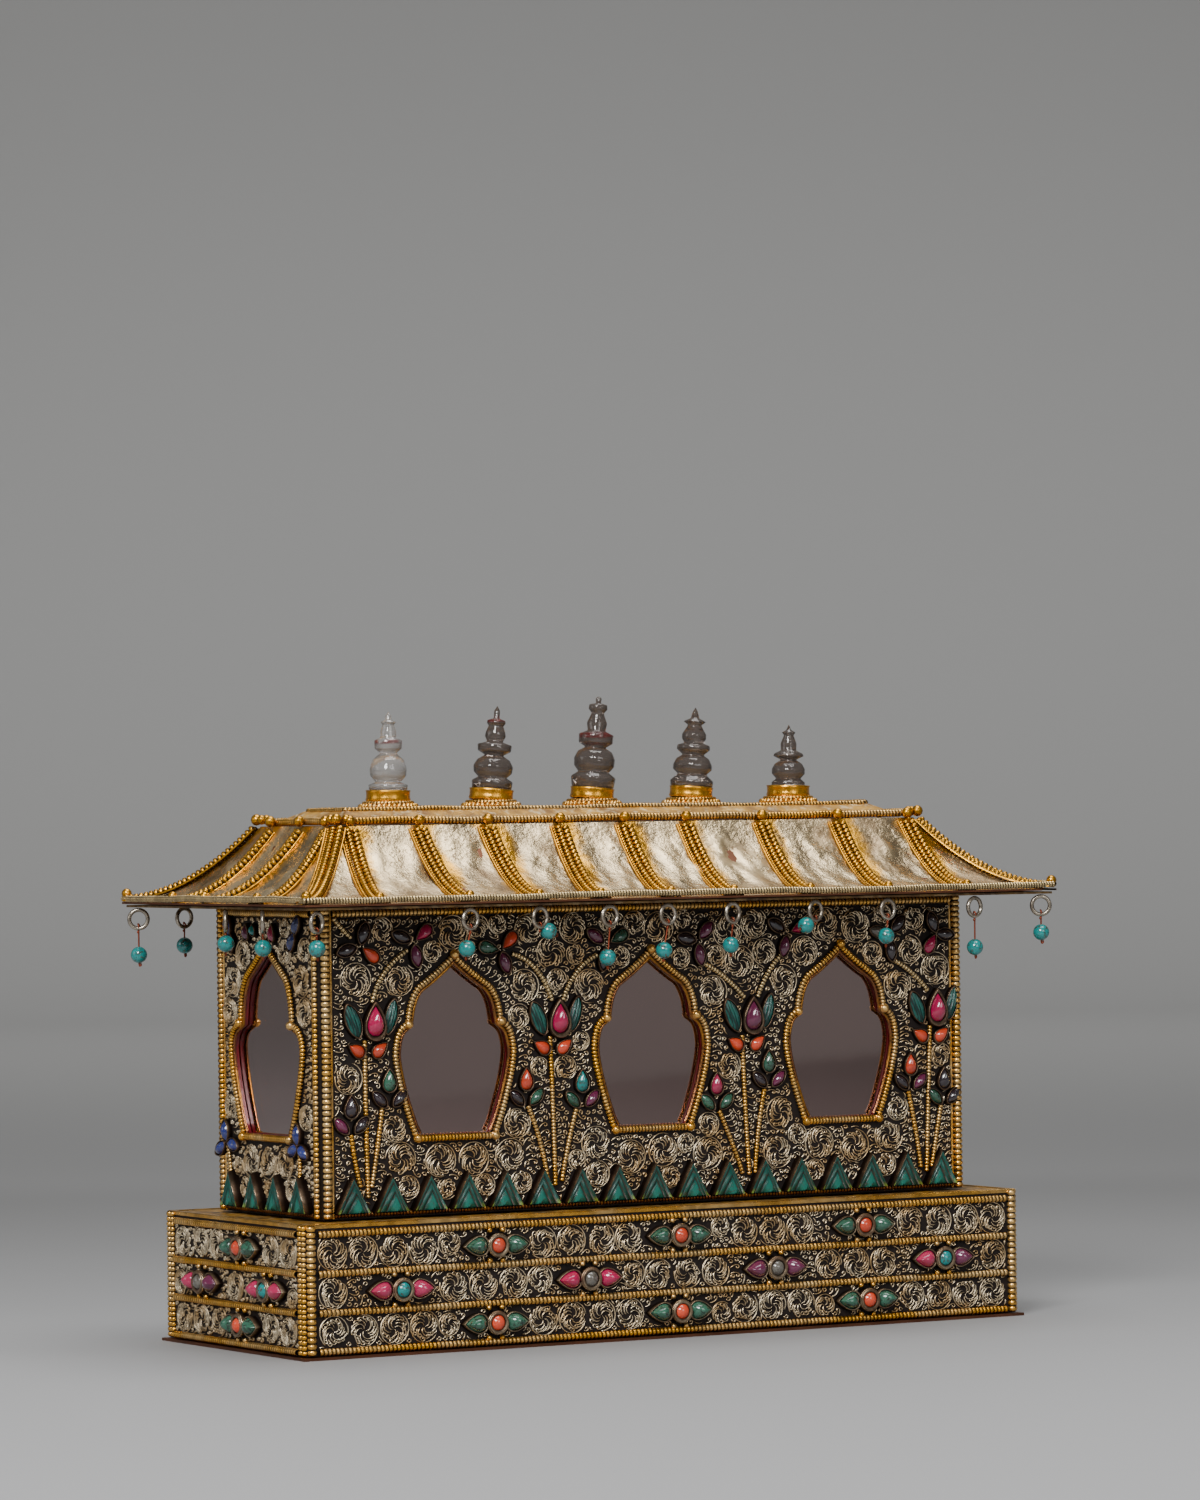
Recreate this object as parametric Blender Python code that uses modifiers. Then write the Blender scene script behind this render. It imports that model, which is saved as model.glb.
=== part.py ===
"""A shrine-shaped altar box of gilded sheet copper with ogee windows, a hipped roof and crystal finials.

Metres, +Z up. The origin is the middle of the underside, and the front faces -Y.
"""

import math

import bmesh
import bpy
from mathutils import Matrix, Vector

# Fits and sheets
gap = 0.0003
sink = 0.0004
sheet = 0.0015
roof_sheet = 0.0008
glass_thickness = 0.0015
weld = 0.00001
cut_reach = 0.01

# Plinth
plinth_length = 0.300
plinth_depth = 0.108
plinth_height = 0.047
base_thickness = 0.0010
base_overhang = 0.0008
rail_wire = 0.0030
plinth_rows = 3
cluster_pitch = 0.0775
collet_height = 0.0042
collet_width = 0.0072
side_stone_offset = 0.0092
side_stone_length = 0.0098
side_stone_width = 0.0068
side_cluster_margin = 0.0265
side_cluster_shift = 0.0060

# Shrine body
body_length = 0.272
body_depth = 0.081
body_height = 0.109
corner_wire = 0.0030
side_corner_wire = 0.0024
top_wire = 0.0026
foot_wire = 0.0018
wall_end_margin = 0.0141

# Windows
sill_height = 0.0276
apex_margin = 0.0166
front_window_half = 0.0254
side_window_half = 0.0289
frame_wire = 0.0028
frame_height = 0.0024
window_inset = 0.0012
glass_margin = 0.0060

# Set stones
stone_height = 0.0024
stem_wire = 0.0017
triangle_width = 0.0142
triangle_height = 0.0132
triangle_proud = 0.0036
triangle_lift = 0.0022
corner_stone_margin = 0.0075
front_triangles = 17
side_triangles = 4

# Roof
eave_length = 0.316
eave_depth = 0.144
upper_length = 0.243
upper_depth = 0.058
upper_height = 0.185
roof_hollow = 1.8
roof_steps = 4
lip_width = 0.0085
rim_wire = 0.0028
eave_wire = 0.0024
rib_width = 0.0052
rib_height = 0.0016
rib_start = 0.04
rib_drift = 0.0050
soffit_opening_margin = 0.0065

# Upper tier
tier_length = 0.223
tier_depth = 0.033
tier_height = 0.1905
tier_wire = 0.0026

# Finials
finial_pitch = 0.0425
granule_ring_width = 0.0220
granule_ring_height = 0.0019
thin_ring_width = 0.0190
thin_ring_height = 0.0014
cup_width = 0.0163
cup_height = 0.0033
cup_wall = 0.0006
cup_sink = 0.0011
foot_depth = 0.0020
foot_width = 0.0130
turned_sides = 8

# Pendants
ring_width = 0.0080
ring_wire = 0.0013
ring_sides = 6
bead_width = 0.0060
pendant_wire = 0.0008
pendant_inset = 0.0034

# Heights that follow from the sizes above
plinth_foot = base_thickness + gap
wall_foot = plinth_height + gap
wall_top = plinth_height + body_height
wall_x = body_length / 2 - corner_wire / 2
wall_y = body_depth / 2 - corner_wire / 2
window_pitch = (body_length - 2 * wall_end_margin) / 3
sill_z = plinth_height + sill_height
apex_z = wall_top - apex_margin
soffit_z = wall_top + gap
skirt_edge = soffit_z + gap + 2 * roof_sheet
cap_foot = upper_height + gap
collar_foot = tier_height + gap


def clear_scene():
    for item in list(bpy.data.objects):
        bpy.data.objects.remove(item, do_unlink=True)


def new_collection(name):
    group = bpy.data.collections.new(name)
    bpy.context.scene.collection.children.link(group)
    return group


def principled(name, colour, roughness, metallic, transmission=0.0):
    material = bpy.data.materials.new(name)
    material.use_nodes = True
    shader = material.node_tree.nodes["Principled BSDF"]
    shader.inputs["Base Color"].default_value = (*colour, 1.0)
    shader.inputs["Roughness"].default_value = roughness
    shader.inputs["Metallic"].default_value = metallic
    shader.inputs["Transmission Weight"].default_value = transmission
    return material


def place(name, mesh, material, group):
    item = bpy.data.objects.new(name, mesh)
    mesh.materials.clear()
    mesh.materials.append(material)
    group.objects.link(item)
    return item


def mesh_from(build, closed=True):
    """A mesh filled by a function that is handed an empty bmesh."""
    work = bmesh.new()
    build(work)
    if closed:
        bmesh.ops.recalc_face_normals(work, faces=work.faces)
    mesh = bpy.data.meshes.new("work")
    work.to_mesh(mesh)
    work.free()
    return mesh


def joined(meshes):
    """Several separate bodies in one mesh."""
    work = bmesh.new()
    for mesh in meshes:
        work.from_mesh(mesh)
        bpy.data.meshes.remove(mesh)
    mesh = bpy.data.meshes.new("bodies")
    work.to_mesh(mesh)
    work.free()
    return mesh


def evaluated(item):
    """The mesh of an object with its modifiers applied, as a new mesh."""
    graph = bpy.context.evaluated_depsgraph_get()
    return bpy.data.meshes.new_from_object(item.evaluated_get(graph))


def combine(mesh, tool, operation):
    """A Boolean of two meshes that lie in the same space; bodies in the tool may cross."""
    left = bpy.data.objects.new("left", mesh)
    right = bpy.data.objects.new("right", tool)
    for item in (left, right):
        bpy.context.scene.collection.objects.link(item)
    modifier = left.modifiers.new("combine", "BOOLEAN")
    modifier.operation = operation
    modifier.object = right
    modifier.use_self = operation == "UNION"
    result = evaluated(left)
    for item in (left, right):
        bpy.data.objects.remove(item)
    return result


def block(low, high):
    low, high = Vector(low), Vector(high)
    size = high - low
    middle = Matrix.Translation((low + high) / 2)

    def build(work):
        bmesh.ops.create_cube(work, size=1.0, matrix=middle @ Matrix.Diagonal((*size, 1.0)))

    return mesh_from(build)


def bar(start, end, diameter, sides=4):
    """A straight round rod between two points."""
    start, end = Vector(start), Vector(end)
    run = end - start
    turn = run.to_track_quat("Z", "Y").to_matrix().to_4x4()
    matrix = Matrix.Translation((start + end) / 2) @ turn

    def build(work):
        bmesh.ops.create_cone(
            work, cap_ends=True, segments=sides, radius1=diameter / 2, radius2=diameter / 2,
            depth=run.length, matrix=matrix)

    return mesh_from(build)


def ball(centre, diameter, across, down):
    def build(work):
        bmesh.ops.create_uvsphere(
            work, u_segments=across, v_segments=down, radius=diameter / 2,
            matrix=Matrix.Translation(centre))

    return mesh_from(build)


def tube(points, diameter, closed):
    """A four-sided wire along points, as a curve that is made a mesh."""
    curve = bpy.data.curves.new("wire", "CURVE")
    curve.dimensions = "3D"
    curve.bevel_depth = diameter / 2
    curve.bevel_resolution = 0
    curve.use_fill_caps = not closed
    spline = curve.splines.new("POLY")
    spline.points.add(len(points) - 1)
    for knot, point in zip(spline.points, points):
        knot.co = (*point, 1.0)
    spline.use_cyclic_u = closed
    item = bpy.data.objects.new("wire", curve)
    bpy.context.scene.collection.objects.link(item)
    mesh = evaluated(item)
    bpy.data.objects.remove(item)
    bpy.data.curves.remove(curve)
    work = bmesh.new()
    work.from_mesh(mesh)
    bmesh.ops.remove_doubles(work, verts=work.verts, dist=weld)
    bmesh.ops.recalc_face_normals(work, faces=work.faces)
    work.to_mesh(mesh)
    work.free()
    return mesh


def slab(outline, low, high):
    """A flat outline of (x, y) points, made a solid between two heights."""
    curve = bpy.data.curves.new("outline", "CURVE")
    curve.dimensions = "2D"
    curve.fill_mode = "BOTH"
    curve.extrude = (high - low) / 2
    spline = curve.splines.new("POLY")
    spline.points.add(len(outline) - 1)
    for knot, point in zip(spline.points, outline):
        knot.co = (*point, 0.0, 1.0)
    spline.use_cyclic_u = True
    item = bpy.data.objects.new("outline", curve)
    bpy.context.scene.collection.objects.link(item)
    mesh = evaluated(item)
    bpy.data.objects.remove(item)
    bpy.data.curves.remove(curve)
    work = bmesh.new()
    work.from_mesh(mesh)
    bmesh.ops.remove_doubles(work, verts=work.verts, dist=weld)
    bmesh.ops.translate(work, verts=work.verts, vec=(0, 0, (low + high) / 2))
    bmesh.ops.recalc_face_normals(work, faces=work.faces)
    work.to_mesh(mesh)
    work.free()
    return mesh


def moved(mesh, matrix):
    mesh.transform(matrix)
    return mesh


def panel_matrix(angle, distance):
    """From a panel's own space (along, up, outward) to the place of a wall that faces angle."""
    face = Matrix.Translation((0, -distance, 0)) @ Matrix.Rotation(math.pi / 2, 4, "X")
    return Matrix.Rotation(angle, 4, "Z") @ face


front, right, back, left = 0.0, math.pi / 2, math.pi, -math.pi / 2


def pear(angle, width):
    """One tip at angle 0, a round back."""
    return math.cos(angle), math.sin(angle) * (1 - 0.35 * math.cos(angle)) * width


def leaf(angle, width):
    """Tips at both ends."""
    return math.cos(angle), math.sin(angle) * abs(math.sin(angle)) ** 0.3 * width


def oval(angle, width):
    return math.cos(angle), math.sin(angle) * width


def stone(shape, centre, length, width, tip_degrees, height=stone_height, sides=5, table=0.6):
    """A set stone that stands out of a panel, its tip turned to tip_degrees."""
    turn = Matrix.Rotation(math.radians(tip_degrees), 4, "Z")
    matrix = Matrix.Translation((centre[0], centre[1], 0)) @ turn

    def build(work):
        made = bmesh.ops.create_cone(
            work, cap_ends=True, segments=sides, radius1=1.0, radius2=table, depth=1.0,
            matrix=Matrix.Rotation(-math.pi / 2, 4, "Z"))
        for vert in made["verts"]:
            reach = math.hypot(vert.co.x, vert.co.y)
            x, y = shape(math.atan2(vert.co.y, vert.co.x), width / length)
            vert.co.x = x * reach * length / 2
            vert.co.y = y * reach * length / 2
            vert.co.z = -sink if vert.co.z < 0 else height
        bmesh.ops.transform(work, matrix=matrix, verts=made["verts"])

    return mesh_from(build)


def triangle(along, up):
    """A malachite wedge that stands on its base."""
    def build(work):
        made = bmesh.ops.create_cone(
            work, cap_ends=True, segments=3, radius1=1.0, radius2=0.82, depth=1.0)
        for vert in made["verts"]:
            tip = vert.co.y > 0.3
            share = math.hypot(vert.co.x, vert.co.y)
            side = 0.0 if tip else math.copysign(triangle_width / 2 * share, vert.co.x)
            vert.co.x = along + side
            vert.co.y = up + (triangle_height * share if tip else 0.0)
            vert.co.z = -sink if vert.co.z < 0 else triangle_proud

    return mesh_from(build)


def bend(start, pull, end, count):
    """Points along a quadratic curve, without its last point."""
    points = []
    for step in range(count):
        t = step / count
        low = (1 - t) ** 2
        mid = 2 * t * (1 - t)
        points.append((low * start[0] + mid * pull[0] + t * t * end[0],
                       low * start[1] + mid * pull[1] + t * t * end[1]))
    return points


def window_outline(half_width, inset=0.0):
    """The frame's middle line in panel space, from the apex round by the right; +up is world height."""
    rise = apex_z - sill_z
    w = half_width

    def at(x, z):
        return x * w, sill_z + z * rise

    side = bend(at(0.0, 1.0), at(0.28, 0.90), at(0.55, 0.835), 1)
    side += bend(at(0.55, 0.835), at(0.72, 0.77), at(0.74, 0.63), 2)
    side += bend(at(0.74, 0.63), at(1.0, 0.60), at(1.0, 0.48), 2)
    side += bend(at(1.0, 0.48), at(0.93, 0.30), at(0.62, 0.0), 2)
    side += [at(0.62, 0.0)]
    if inset:
        side = shrunk(side, inset)
    return side + [(-x, z) for x, z in reversed(side[1:])]


def shrunk(side, inset):
    """Half an outline moved inward, its first point kept on the middle line."""
    moved_points = []
    for index, point in enumerate(side):
        before = Vector(side[max(index - 1, 0)])
        after = Vector(side[min(index + 1, len(side) - 1)])
        run = (after - before).normalized()
        inward = Vector((run.y, -run.x)) * inset
        moved_points.append((point[0] + inward.x, point[1] + inward.y))
    moved_points[0] = (0.0, side[0][1] - inset * 1.3)
    last = moved_points[-1]
    moved_points[-1] = (last[0], side[-1][1] + inset)
    return moved_points


def window_band(along, half_width):
    """A raised band round a window."""
    points = [(along + x, z) for x, z in window_outline(half_width, -frame_wire / 2)]
    return slab(points, -sink, frame_height)


def bloom(along, up):
    """A lotus: a ruby between two carved petals over two small coral buds."""
    return [
        stone(pear, (along, up), 0.0122, 0.0086, 90, stone_height * 1.15),
        stone(leaf, (along - 0.0088, up + 0.0010), 0.0116, 0.0054, 112, sides=4),
        stone(leaf, (along + 0.0072, up + 0.0016), 0.0112, 0.0050, 70, sides=4),
        stone(pear, (along - 0.0072, up - 0.0096), 0.0064, 0.0044, 150),
        stone(pear, (along + 0.0030, up - 0.0092), 0.0064, 0.0044, 60),
    ]


def trio(along, up):
    """Three stones that open upward from one point."""
    return [
        stone(pear, (along, up + 0.0034), 0.0074, 0.0054, 90),
        stone(leaf, (along - 0.0042, up - 0.0030), 0.0076, 0.0038, 140, sides=4),
        stone(leaf, (along + 0.0042, up - 0.0028), 0.0076, 0.0038, 40, sides=4),
    ]


def spray(along, up):
    """Three leaves that spread from one point under the top rail."""
    return [
        stone(leaf, (along - 0.0050, up + 0.0016), 0.0080, 0.0046, 165, sides=4),
        stone(pear, (along + 0.0046, up + 0.0028), 0.0078, 0.0052, 30),
        stone(leaf, (along + 0.0004, up - 0.0050), 0.0078, 0.0042, 95, sides=4),
    ]


def stem(start, end):
    """A beaded stem that lies on the sheet."""
    height = stem_wire / 2 - sink
    return bar((*start, height), (*end, height), stem_wire)


def level(share):
    """A world height at a share of the wall's height above the plinth."""
    return plinth_height + share * body_height


def border(half_run, low, high, width):
    """Corner columns of one panel, and its top rail and foot wire between them."""
    height = width / 2 - sink
    side = half_run - width / 2 - gap
    top = high - top_wire / 2 - gap
    foot = low + foot_wire / 2 + gap
    inner = side - width / 2 - gap
    bars = [bar((s * side, low + gap, height), (s * side, high - gap, height), width)
            for s in (-1, 1)]
    for up, wire in ((top, top_wire), (foot, foot_wire)):
        bars.append(bar((-inner, up, wire / 2 - sink), (inner, up, wire / 2 - sink), wire))
    return bars


def triangle_row(half_run, count):
    """Wedges side by side along the foot of a panel."""
    pitch = 2 * half_run / count
    up = wall_foot + triangle_lift
    return [triangle((index - (count - 1) / 2) * pitch, up) for index in range(count)]


def panel_sheet(half_run, windows, half_width, bands):
    """A sheet in panel space with a raised band round each window opening."""
    sheet_mesh = block((-half_run, wall_foot, -sheet), (half_run, wall_top, 0.0))
    if bands:
        sheet_mesh = combine(sheet_mesh, joined(bands), "UNION")
    for along in windows:
        outline = [(along + x, z) for x, z in window_outline(half_width, window_inset)]
        cutter = slab(outline, -2 * sheet, 2 * frame_height)
        sheet_mesh = combine(sheet_mesh, cutter, "DIFFERENCE")
    return sheet_mesh


def front_panel():
    """The front sheet with three windows between four lotus stems."""
    windows = [(index - 1) * window_pitch for index in range(3)]
    bands = [window_band(along, front_window_half) for along in windows]
    stones, stems = [], []
    foot = level(0.15)
    for index, shift in enumerate((0.0085, 0.0018, 0.0016, 0.0016)):
        along = (index - 1.5) * window_pitch + shift
        stones += bloom(along, level(0.627))
        low_left, low_right = ((0.323, 0.406), (0.399, 0.382), (0.358, 0.424), (0.399, 0.343))[index]
        side_left = along - (0.0112, 0.0128, 0.0134, 0.0114)[index]
        side_right = along + (0.0046, 0.0080, 0.0068, 0.0056)[index]
        stones += trio(side_left, level(low_left))
        stones += trio(side_right, level(low_right))
        stems.append(stem((along - 0.0026, level(0.50)), (along - 0.0028, foot)))
        stems.append(stem((side_left + 0.0004, level(low_left) - 0.0068), (along - 0.0054, foot)))
        stems.append(stem((side_right - 0.0004, level(low_right) - 0.0068), (along - 0.0002, foot)))
    end = 1.5 * window_pitch
    sprays = [-end + 0.0036, -1.5 * window_pitch + 0.0240, -0.5 * window_pitch - 0.0212,
              -0.5 * window_pitch + 0.0216, 0.5 * window_pitch - 0.0212,
              0.5 * window_pitch + 0.0182, end - 0.0196, end + 0.0040]
    for along in sprays:
        stones += spray(along, level(0.872))
    relief = border(wall_x, wall_foot, wall_top, corner_wire) + stems + stones
    relief += triangle_row(wall_x - corner_wire, front_triangles)
    return combine(panel_sheet(wall_x, windows, front_window_half, bands), joined(relief), "UNION")


def side_panel():
    """An end sheet with one window and small lapis stones."""
    half_run = wall_y - sheet - gap
    half_width = min(side_window_half, half_run - corner_wire - frame_wire / 2)
    relief = border(half_run, wall_foot, wall_top, side_corner_wire)
    stones = []
    for side in (-1, 1):
        low = side * (half_run - corner_stone_margin)
        for along, up in ((0.0, 0.263), (-0.0036, 0.212), (0.0034, 0.212)):
            stones.append(stone(pear, (low + along, level(up)), 0.0058, 0.0034, 90))
        for up in (0.942, 0.894):
            stones.append(stone(leaf, (low, level(up) - 0.0004), 0.0050, 0.0036, 90, sides=4))
    for along in (-0.0125, 0.0075):
        stones.append(stone(pear, (along, level(0.918)), 0.0076, 0.0052, 0.0))
    relief += stones + triangle_row(half_run - side_corner_wire, side_triangles)
    bands = [window_band(0.0, half_width)]
    return combine(panel_sheet(half_run, [0.0], half_width, bands), joined(relief), "UNION")


def back_panel():
    """A plain sheet with its border and the row of triangles."""
    relief = border(wall_x, wall_foot, wall_top, corner_wire)
    relief += triangle_row(wall_x - corner_wire, front_triangles)
    return combine(panel_sheet(wall_x, [], front_window_half, []), joined(relief), "UNION")


def plinth_shell():
    """A box of sheet that is open underneath."""
    half_x = plinth_length / 2 - rail_wire / 2
    half_y = plinth_depth / 2 - rail_wire / 2
    mesh = block((-half_x, -half_y, plinth_foot), (half_x, half_y, plinth_height))
    work = bmesh.new()
    work.from_mesh(mesh)
    floor = [face for face in work.faces if face.normal.z < -0.9]
    bmesh.ops.delete(work, geom=floor, context="FACES_ONLY")
    work.to_mesh(mesh)
    work.free()
    return solidified(mesh, sheet)


def solidified(mesh, thickness):
    """An open surface given its thickness on the inner side."""
    item = bpy.data.objects.new("shell", mesh)
    bpy.context.scene.collection.objects.link(item)
    modifier = item.modifiers.new("thickness", "SOLIDIFY")
    modifier.thickness = thickness
    modifier.offset = -1.0
    modifier.use_even_offset = True
    result = evaluated(item)
    bpy.data.objects.remove(item)
    return result


def cluster(along, up):
    """A collet with a round stone between two pear stones on their own collets."""
    side = stone_height * 1.5
    return [
        stone(oval, (along, up), collet_width, collet_width, 0, collet_height, sides=6),
        stone(pear, (along - side_stone_offset, up), side_stone_length, side_stone_width, 180, side),
        stone(pear, (along + side_stone_offset, up), side_stone_length, side_stone_width, 0, side),
    ]


def plinth_face(half_run, clusters):
    """Rails, corner columns and stone clusters of one side, in panel space."""
    height = rail_wire / 2 - sink
    side = half_run - rail_wire / 2 - gap
    inner = side - rail_wire / 2 - gap
    low = plinth_foot + rail_wire / 2 + gap
    high = plinth_height - rail_wire / 2 - gap
    row = (high - low) / plinth_rows
    rails = [bar((-inner, low + index * row, height), (inner, low + index * row, height), rail_wire)
             for index in range(plinth_rows + 1)]
    top, bottom = plinth_height - gap, plinth_foot + gap
    columns = [bar((s * side, bottom, height), (s * side, top, height), rail_wire) for s in (-1, 1)]
    stones = []
    for along, index in clusters:
        stones += cluster(along, low + (index + 0.5) * row)
    return rails + columns + stones


def plinth():
    """The shell with four dressed faces."""
    half_x = plinth_length / 2 - rail_wire / 2
    half_y = plinth_depth / 2 - rail_wire / 2
    on_front = [((index - 1) * cluster_pitch, row) for index in range(3) for row in (0, 2)]
    on_front += [((index - 1.5) * cluster_pitch, 1) for index in range(4)]
    offset = half_y - side_cluster_margin
    on_side = [(side_cluster_shift, 0), (side_cluster_shift, 2), (-offset, 1), (offset, 1)]
    mesh = plinth_shell()
    faces = ((front, half_y, half_x, on_front), (right, half_x, half_y, on_side),
             (back, half_y, half_x, []), (left, half_x, half_y, on_side))
    for angle, distance, run, clusters in faces:
        relief = moved(joined(plinth_face(run, clusters)), panel_matrix(angle, distance))
        mesh = combine(mesh, relief, "UNION")
    return mesh


def skirt_z(share):
    """Height of the roof's outer face; share runs from the upper edge out to the eave."""
    drop = upper_height - skirt_edge
    return skirt_edge + drop * max(1 - share, 0.0) ** roof_hollow


def sheet_half(upper, eave, share):
    """Half of the skirt's width; the sheet ends under the eave wire's middle."""
    return (upper + (eave - eave_wire - upper) * share) / 2


def skirt_shell():
    """A concave four-sided sheet from the inner lip to the eave."""
    rings = [(upper_length / 2 - lip_width, upper_depth / 2 - lip_width, upper_height)]
    for step in range(roof_steps + 1):
        share = step / roof_steps
        rings.append((sheet_half(upper_length, eave_length, share),
                      sheet_half(upper_depth, eave_depth, share), skirt_z(share)))

    def build(work):
        rows = []
        for x, y, z in rings:
            corners = ((-x, -y), (x, -y), (x, y), (-x, y))
            rows.append([work.verts.new((cx, cy, z)) for cx, cy in corners])
        for above, below in zip(rows, rows[1:]):
            for index in range(4):
                after = (index + 1) % 4
                work.faces.new((above[index], below[index], below[after], above[after]))

    return solidified(mesh_from(build, closed=False), roof_sheet)


def rim(half_x, half_y, z, diameter, sides=4):
    """A wire bent round a rectangle with mitred corners."""
    def build(work):
        rings = []
        for sx, sy in ((-1, -1), (1, -1), (1, 1), (-1, 1)):
            ring = []
            for index in range(sides):
                angle = 2 * math.pi * index / sides
                out = diameter / 2 * math.cos(angle)
                up = diameter / 2 * math.sin(angle)
                ring.append(work.verts.new((sx * (half_x + out), sy * (half_y + out), z + up)))
            rings.append(ring)
        for index in range(4):
            here, there = rings[index], rings[(index + 1) % 4]
            for side in range(sides):
                after = (side + 1) % sides
                work.faces.new((here[side], there[side], there[after], here[after]))

    return mesh_from(build)


def ridge(points, normals, width, height):
    """A three-sided rib along points of the roof, its foot sunk in the sheet."""
    def build(work):
        rows = []
        for index, (point, normal) in enumerate(zip(points, normals)):
            run = points[min(index + 1, len(points) - 1)] - points[max(index - 1, 0)]
            across = run.cross(normal).normalized() * width / 2
            low = point - normal * sink
            rows.append([work.verts.new(low - across), work.verts.new(point + normal * height),
                         work.verts.new(low + across)])
        for above, below in zip(rows, rows[1:]):
            for side in range(3):
                after = (side + 1) % 3
                work.faces.new((above[side], below[side], below[after], above[after]))
        work.faces.new(rows[0])
        work.faces.new(rows[-1])

    return mesh_from(build)


def rib_shares(reach):
    """Where a rib's cross-sections lie on the slope; it stops a reach short of the eave wire."""
    end = 1 - (eave_wire / 2 + 2 * gap + reach) / ((eave_depth - upper_depth) / 2)
    return [rib_start] + [step / roof_steps for step in range(1, roof_steps)] + [end]


def slope_normal(share, upper, eave):
    """The roof's outward normal on a slope that faces -Y."""
    step = 0.02
    rise = skirt_z(share + step) - skirt_z(share - step)
    run = sheet_half(upper, eave, share + step) - sheet_half(upper, eave, share - step)
    return Vector((0, rise, run)).normalized()


def slope_rib(top, foot, upper, eave, angle):
    """A rib down the slope that faces angle, from top to foot along the wall."""
    points, normals = [], []
    for share in rib_shares(0.0):
        along = top + (foot - top) * share
        points.append(Vector((along, -sheet_half(upper, eave, share), skirt_z(share))))
        normals.append(slope_normal(share, upper, eave))
    turn = Matrix.Rotation(angle, 4, "Z")
    return moved(ridge(points, normals, rib_width, rib_height), turn)


def hip_rib(sx, sy):
    """The rib along one corner of the skirt."""
    points, normals = [], []
    for share in rib_shares(rib_width * 0.4):
        x = sheet_half(upper_length, eave_length, share)
        y = sheet_half(upper_depth, eave_depth, share)
        points.append(Vector((sx * x, sy * y, skirt_z(share) + sink * 0.6)))
        normals.append(Vector((sx * 0.25, sy * 0.25, 1.0)).normalized())
    return ridge(points, normals, rib_width, rib_height)


def roof_skirt():
    """The skirt with its ribs."""
    reach = upper_length / 2 * 0.965
    ribs = []
    for index in range(9):
        top = (index - 4) / 4 * reach
        fan = 2.2 if index == 0 else 1.0
        ribs.append(slope_rib(top, top - rib_drift * fan, upper_depth, eave_depth, front))
        if index % 2:
            ribs.append(slope_rib(top, top, upper_depth, eave_depth, back))
    for angle in (left, right):
        for top, foot in ((-0.79, -0.46), (-0.14, 0.11), (0.62, 0.46)):
            ribs.append(slope_rib(top * upper_depth / 2, foot * eave_depth / 2,
                                  upper_length, eave_length, angle))
    ribs += [hip_rib(sx, sy) for sx in (-1, 1) for sy in (-1, 1)]
    return combine(skirt_shell(), joined(ribs), "UNION")


def eave_soffit():
    """A flat ring of sheet that closes the underside of the eave and lies on the walls."""
    half_x = eave_length / 2 - eave_wire
    half_y = eave_depth / 2 - eave_wire
    mesh = block((-half_x, -half_y, soffit_z), (half_x, half_y, soffit_z + roof_sheet))
    open_x = wall_x - soffit_opening_margin
    open_y = wall_y - soffit_opening_margin
    cutter = block((-open_x, -open_y, soffit_z - cut_reach), (open_x, open_y, soffit_z + cut_reach))
    return combine(mesh, cutter, "DIFFERENCE")


def roof_cap():
    """The stepped tier: a low flared tray turned upside down."""
    foot_x = upper_length / 2 - rim_wire - 2 * gap
    foot_y = upper_depth / 2 - rim_wire - 2 * gap
    top_x, top_y = tier_length / 2 - tier_wire / 2, tier_depth / 2 - tier_wire / 2
    rings = [(top_x, top_y, tier_height), (foot_x, foot_y, cap_foot + roof_sheet)]

    def build(work):
        rows = []
        for x, y, z in rings:
            corners = ((-x, -y), (x, -y), (x, y), (-x, y))
            rows.append([work.verts.new((cx, cy, z)) for cx, cy in corners])
        for above, below in zip(rows, rows[1:]):
            for index in range(4):
                after = (index + 1) % 4
                work.faces.new((above[index], below[index], below[after], above[after]))
        work.faces.new(rows[0])

    return solidified(mesh_from(build, closed=False), roof_sheet)


def turned(profile, steps):
    """A profile of (radius, height) from the outer top down, spun about Z with both ends closed."""
    mesh = bpy.data.meshes.new("profile")
    points = [(radius, 0.0, height) for radius, height in profile]
    mesh.from_pydata(points, [(i, i + 1) for i in range(len(points) - 1)], [])
    item = bpy.data.objects.new("turned", mesh)
    bpy.context.scene.collection.objects.link(item)
    modifier = item.modifiers.new("spin", "SCREW")
    modifier.steps = steps
    modifier.render_steps = steps
    modifier.use_merge_vertices = True
    modifier.merge_threshold = weld
    modifier.use_smooth_shade = False
    result = evaluated(item)
    bpy.data.objects.remove(item)
    return result


def collar(tilt):
    """Granule ring and thin ring with a slightly tilted cup that holds the crystal's foot."""
    ring_a = granule_ring_width / 2
    ring_b = thin_ring_width / 2
    step = granule_ring_height
    top = step + thin_ring_height
    base = turned([(0.0, top), (ring_b, top), (ring_b, step), (ring_a, step),
                   (ring_a, 0.0), (0.0, 0.0)], turned_sides)
    outer = cup_width / 2
    inner = outer - cup_wall
    floor = cup_height - foot_depth - gap
    cup = turned([(0.0, floor), (inner, floor), (inner, cup_height), (outer, cup_height),
                  (outer, -cup_sink), (0.0, -cup_sink)], turned_sides)
    moved(cup, Matrix.Translation((0, 0, top)) @ Matrix.Rotation(tilt, 4, "Y"))
    return combine(base, cup, "UNION")


def crystal(shape, foot_radius):
    """A turned crystal with its foot plug; heights start at the cup's rim."""
    plug = foot_width / 2
    profile = [(0.0, shape[-1][1])] if shape[-1][0] > 0 else []
    profile += [(radius, height) for radius, height in reversed(shape)]
    profile += [(foot_radius, gap), (plug, gap), (plug, -foot_depth), (0.0, -foot_depth)]
    return turned(profile, turned_sides)


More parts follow.
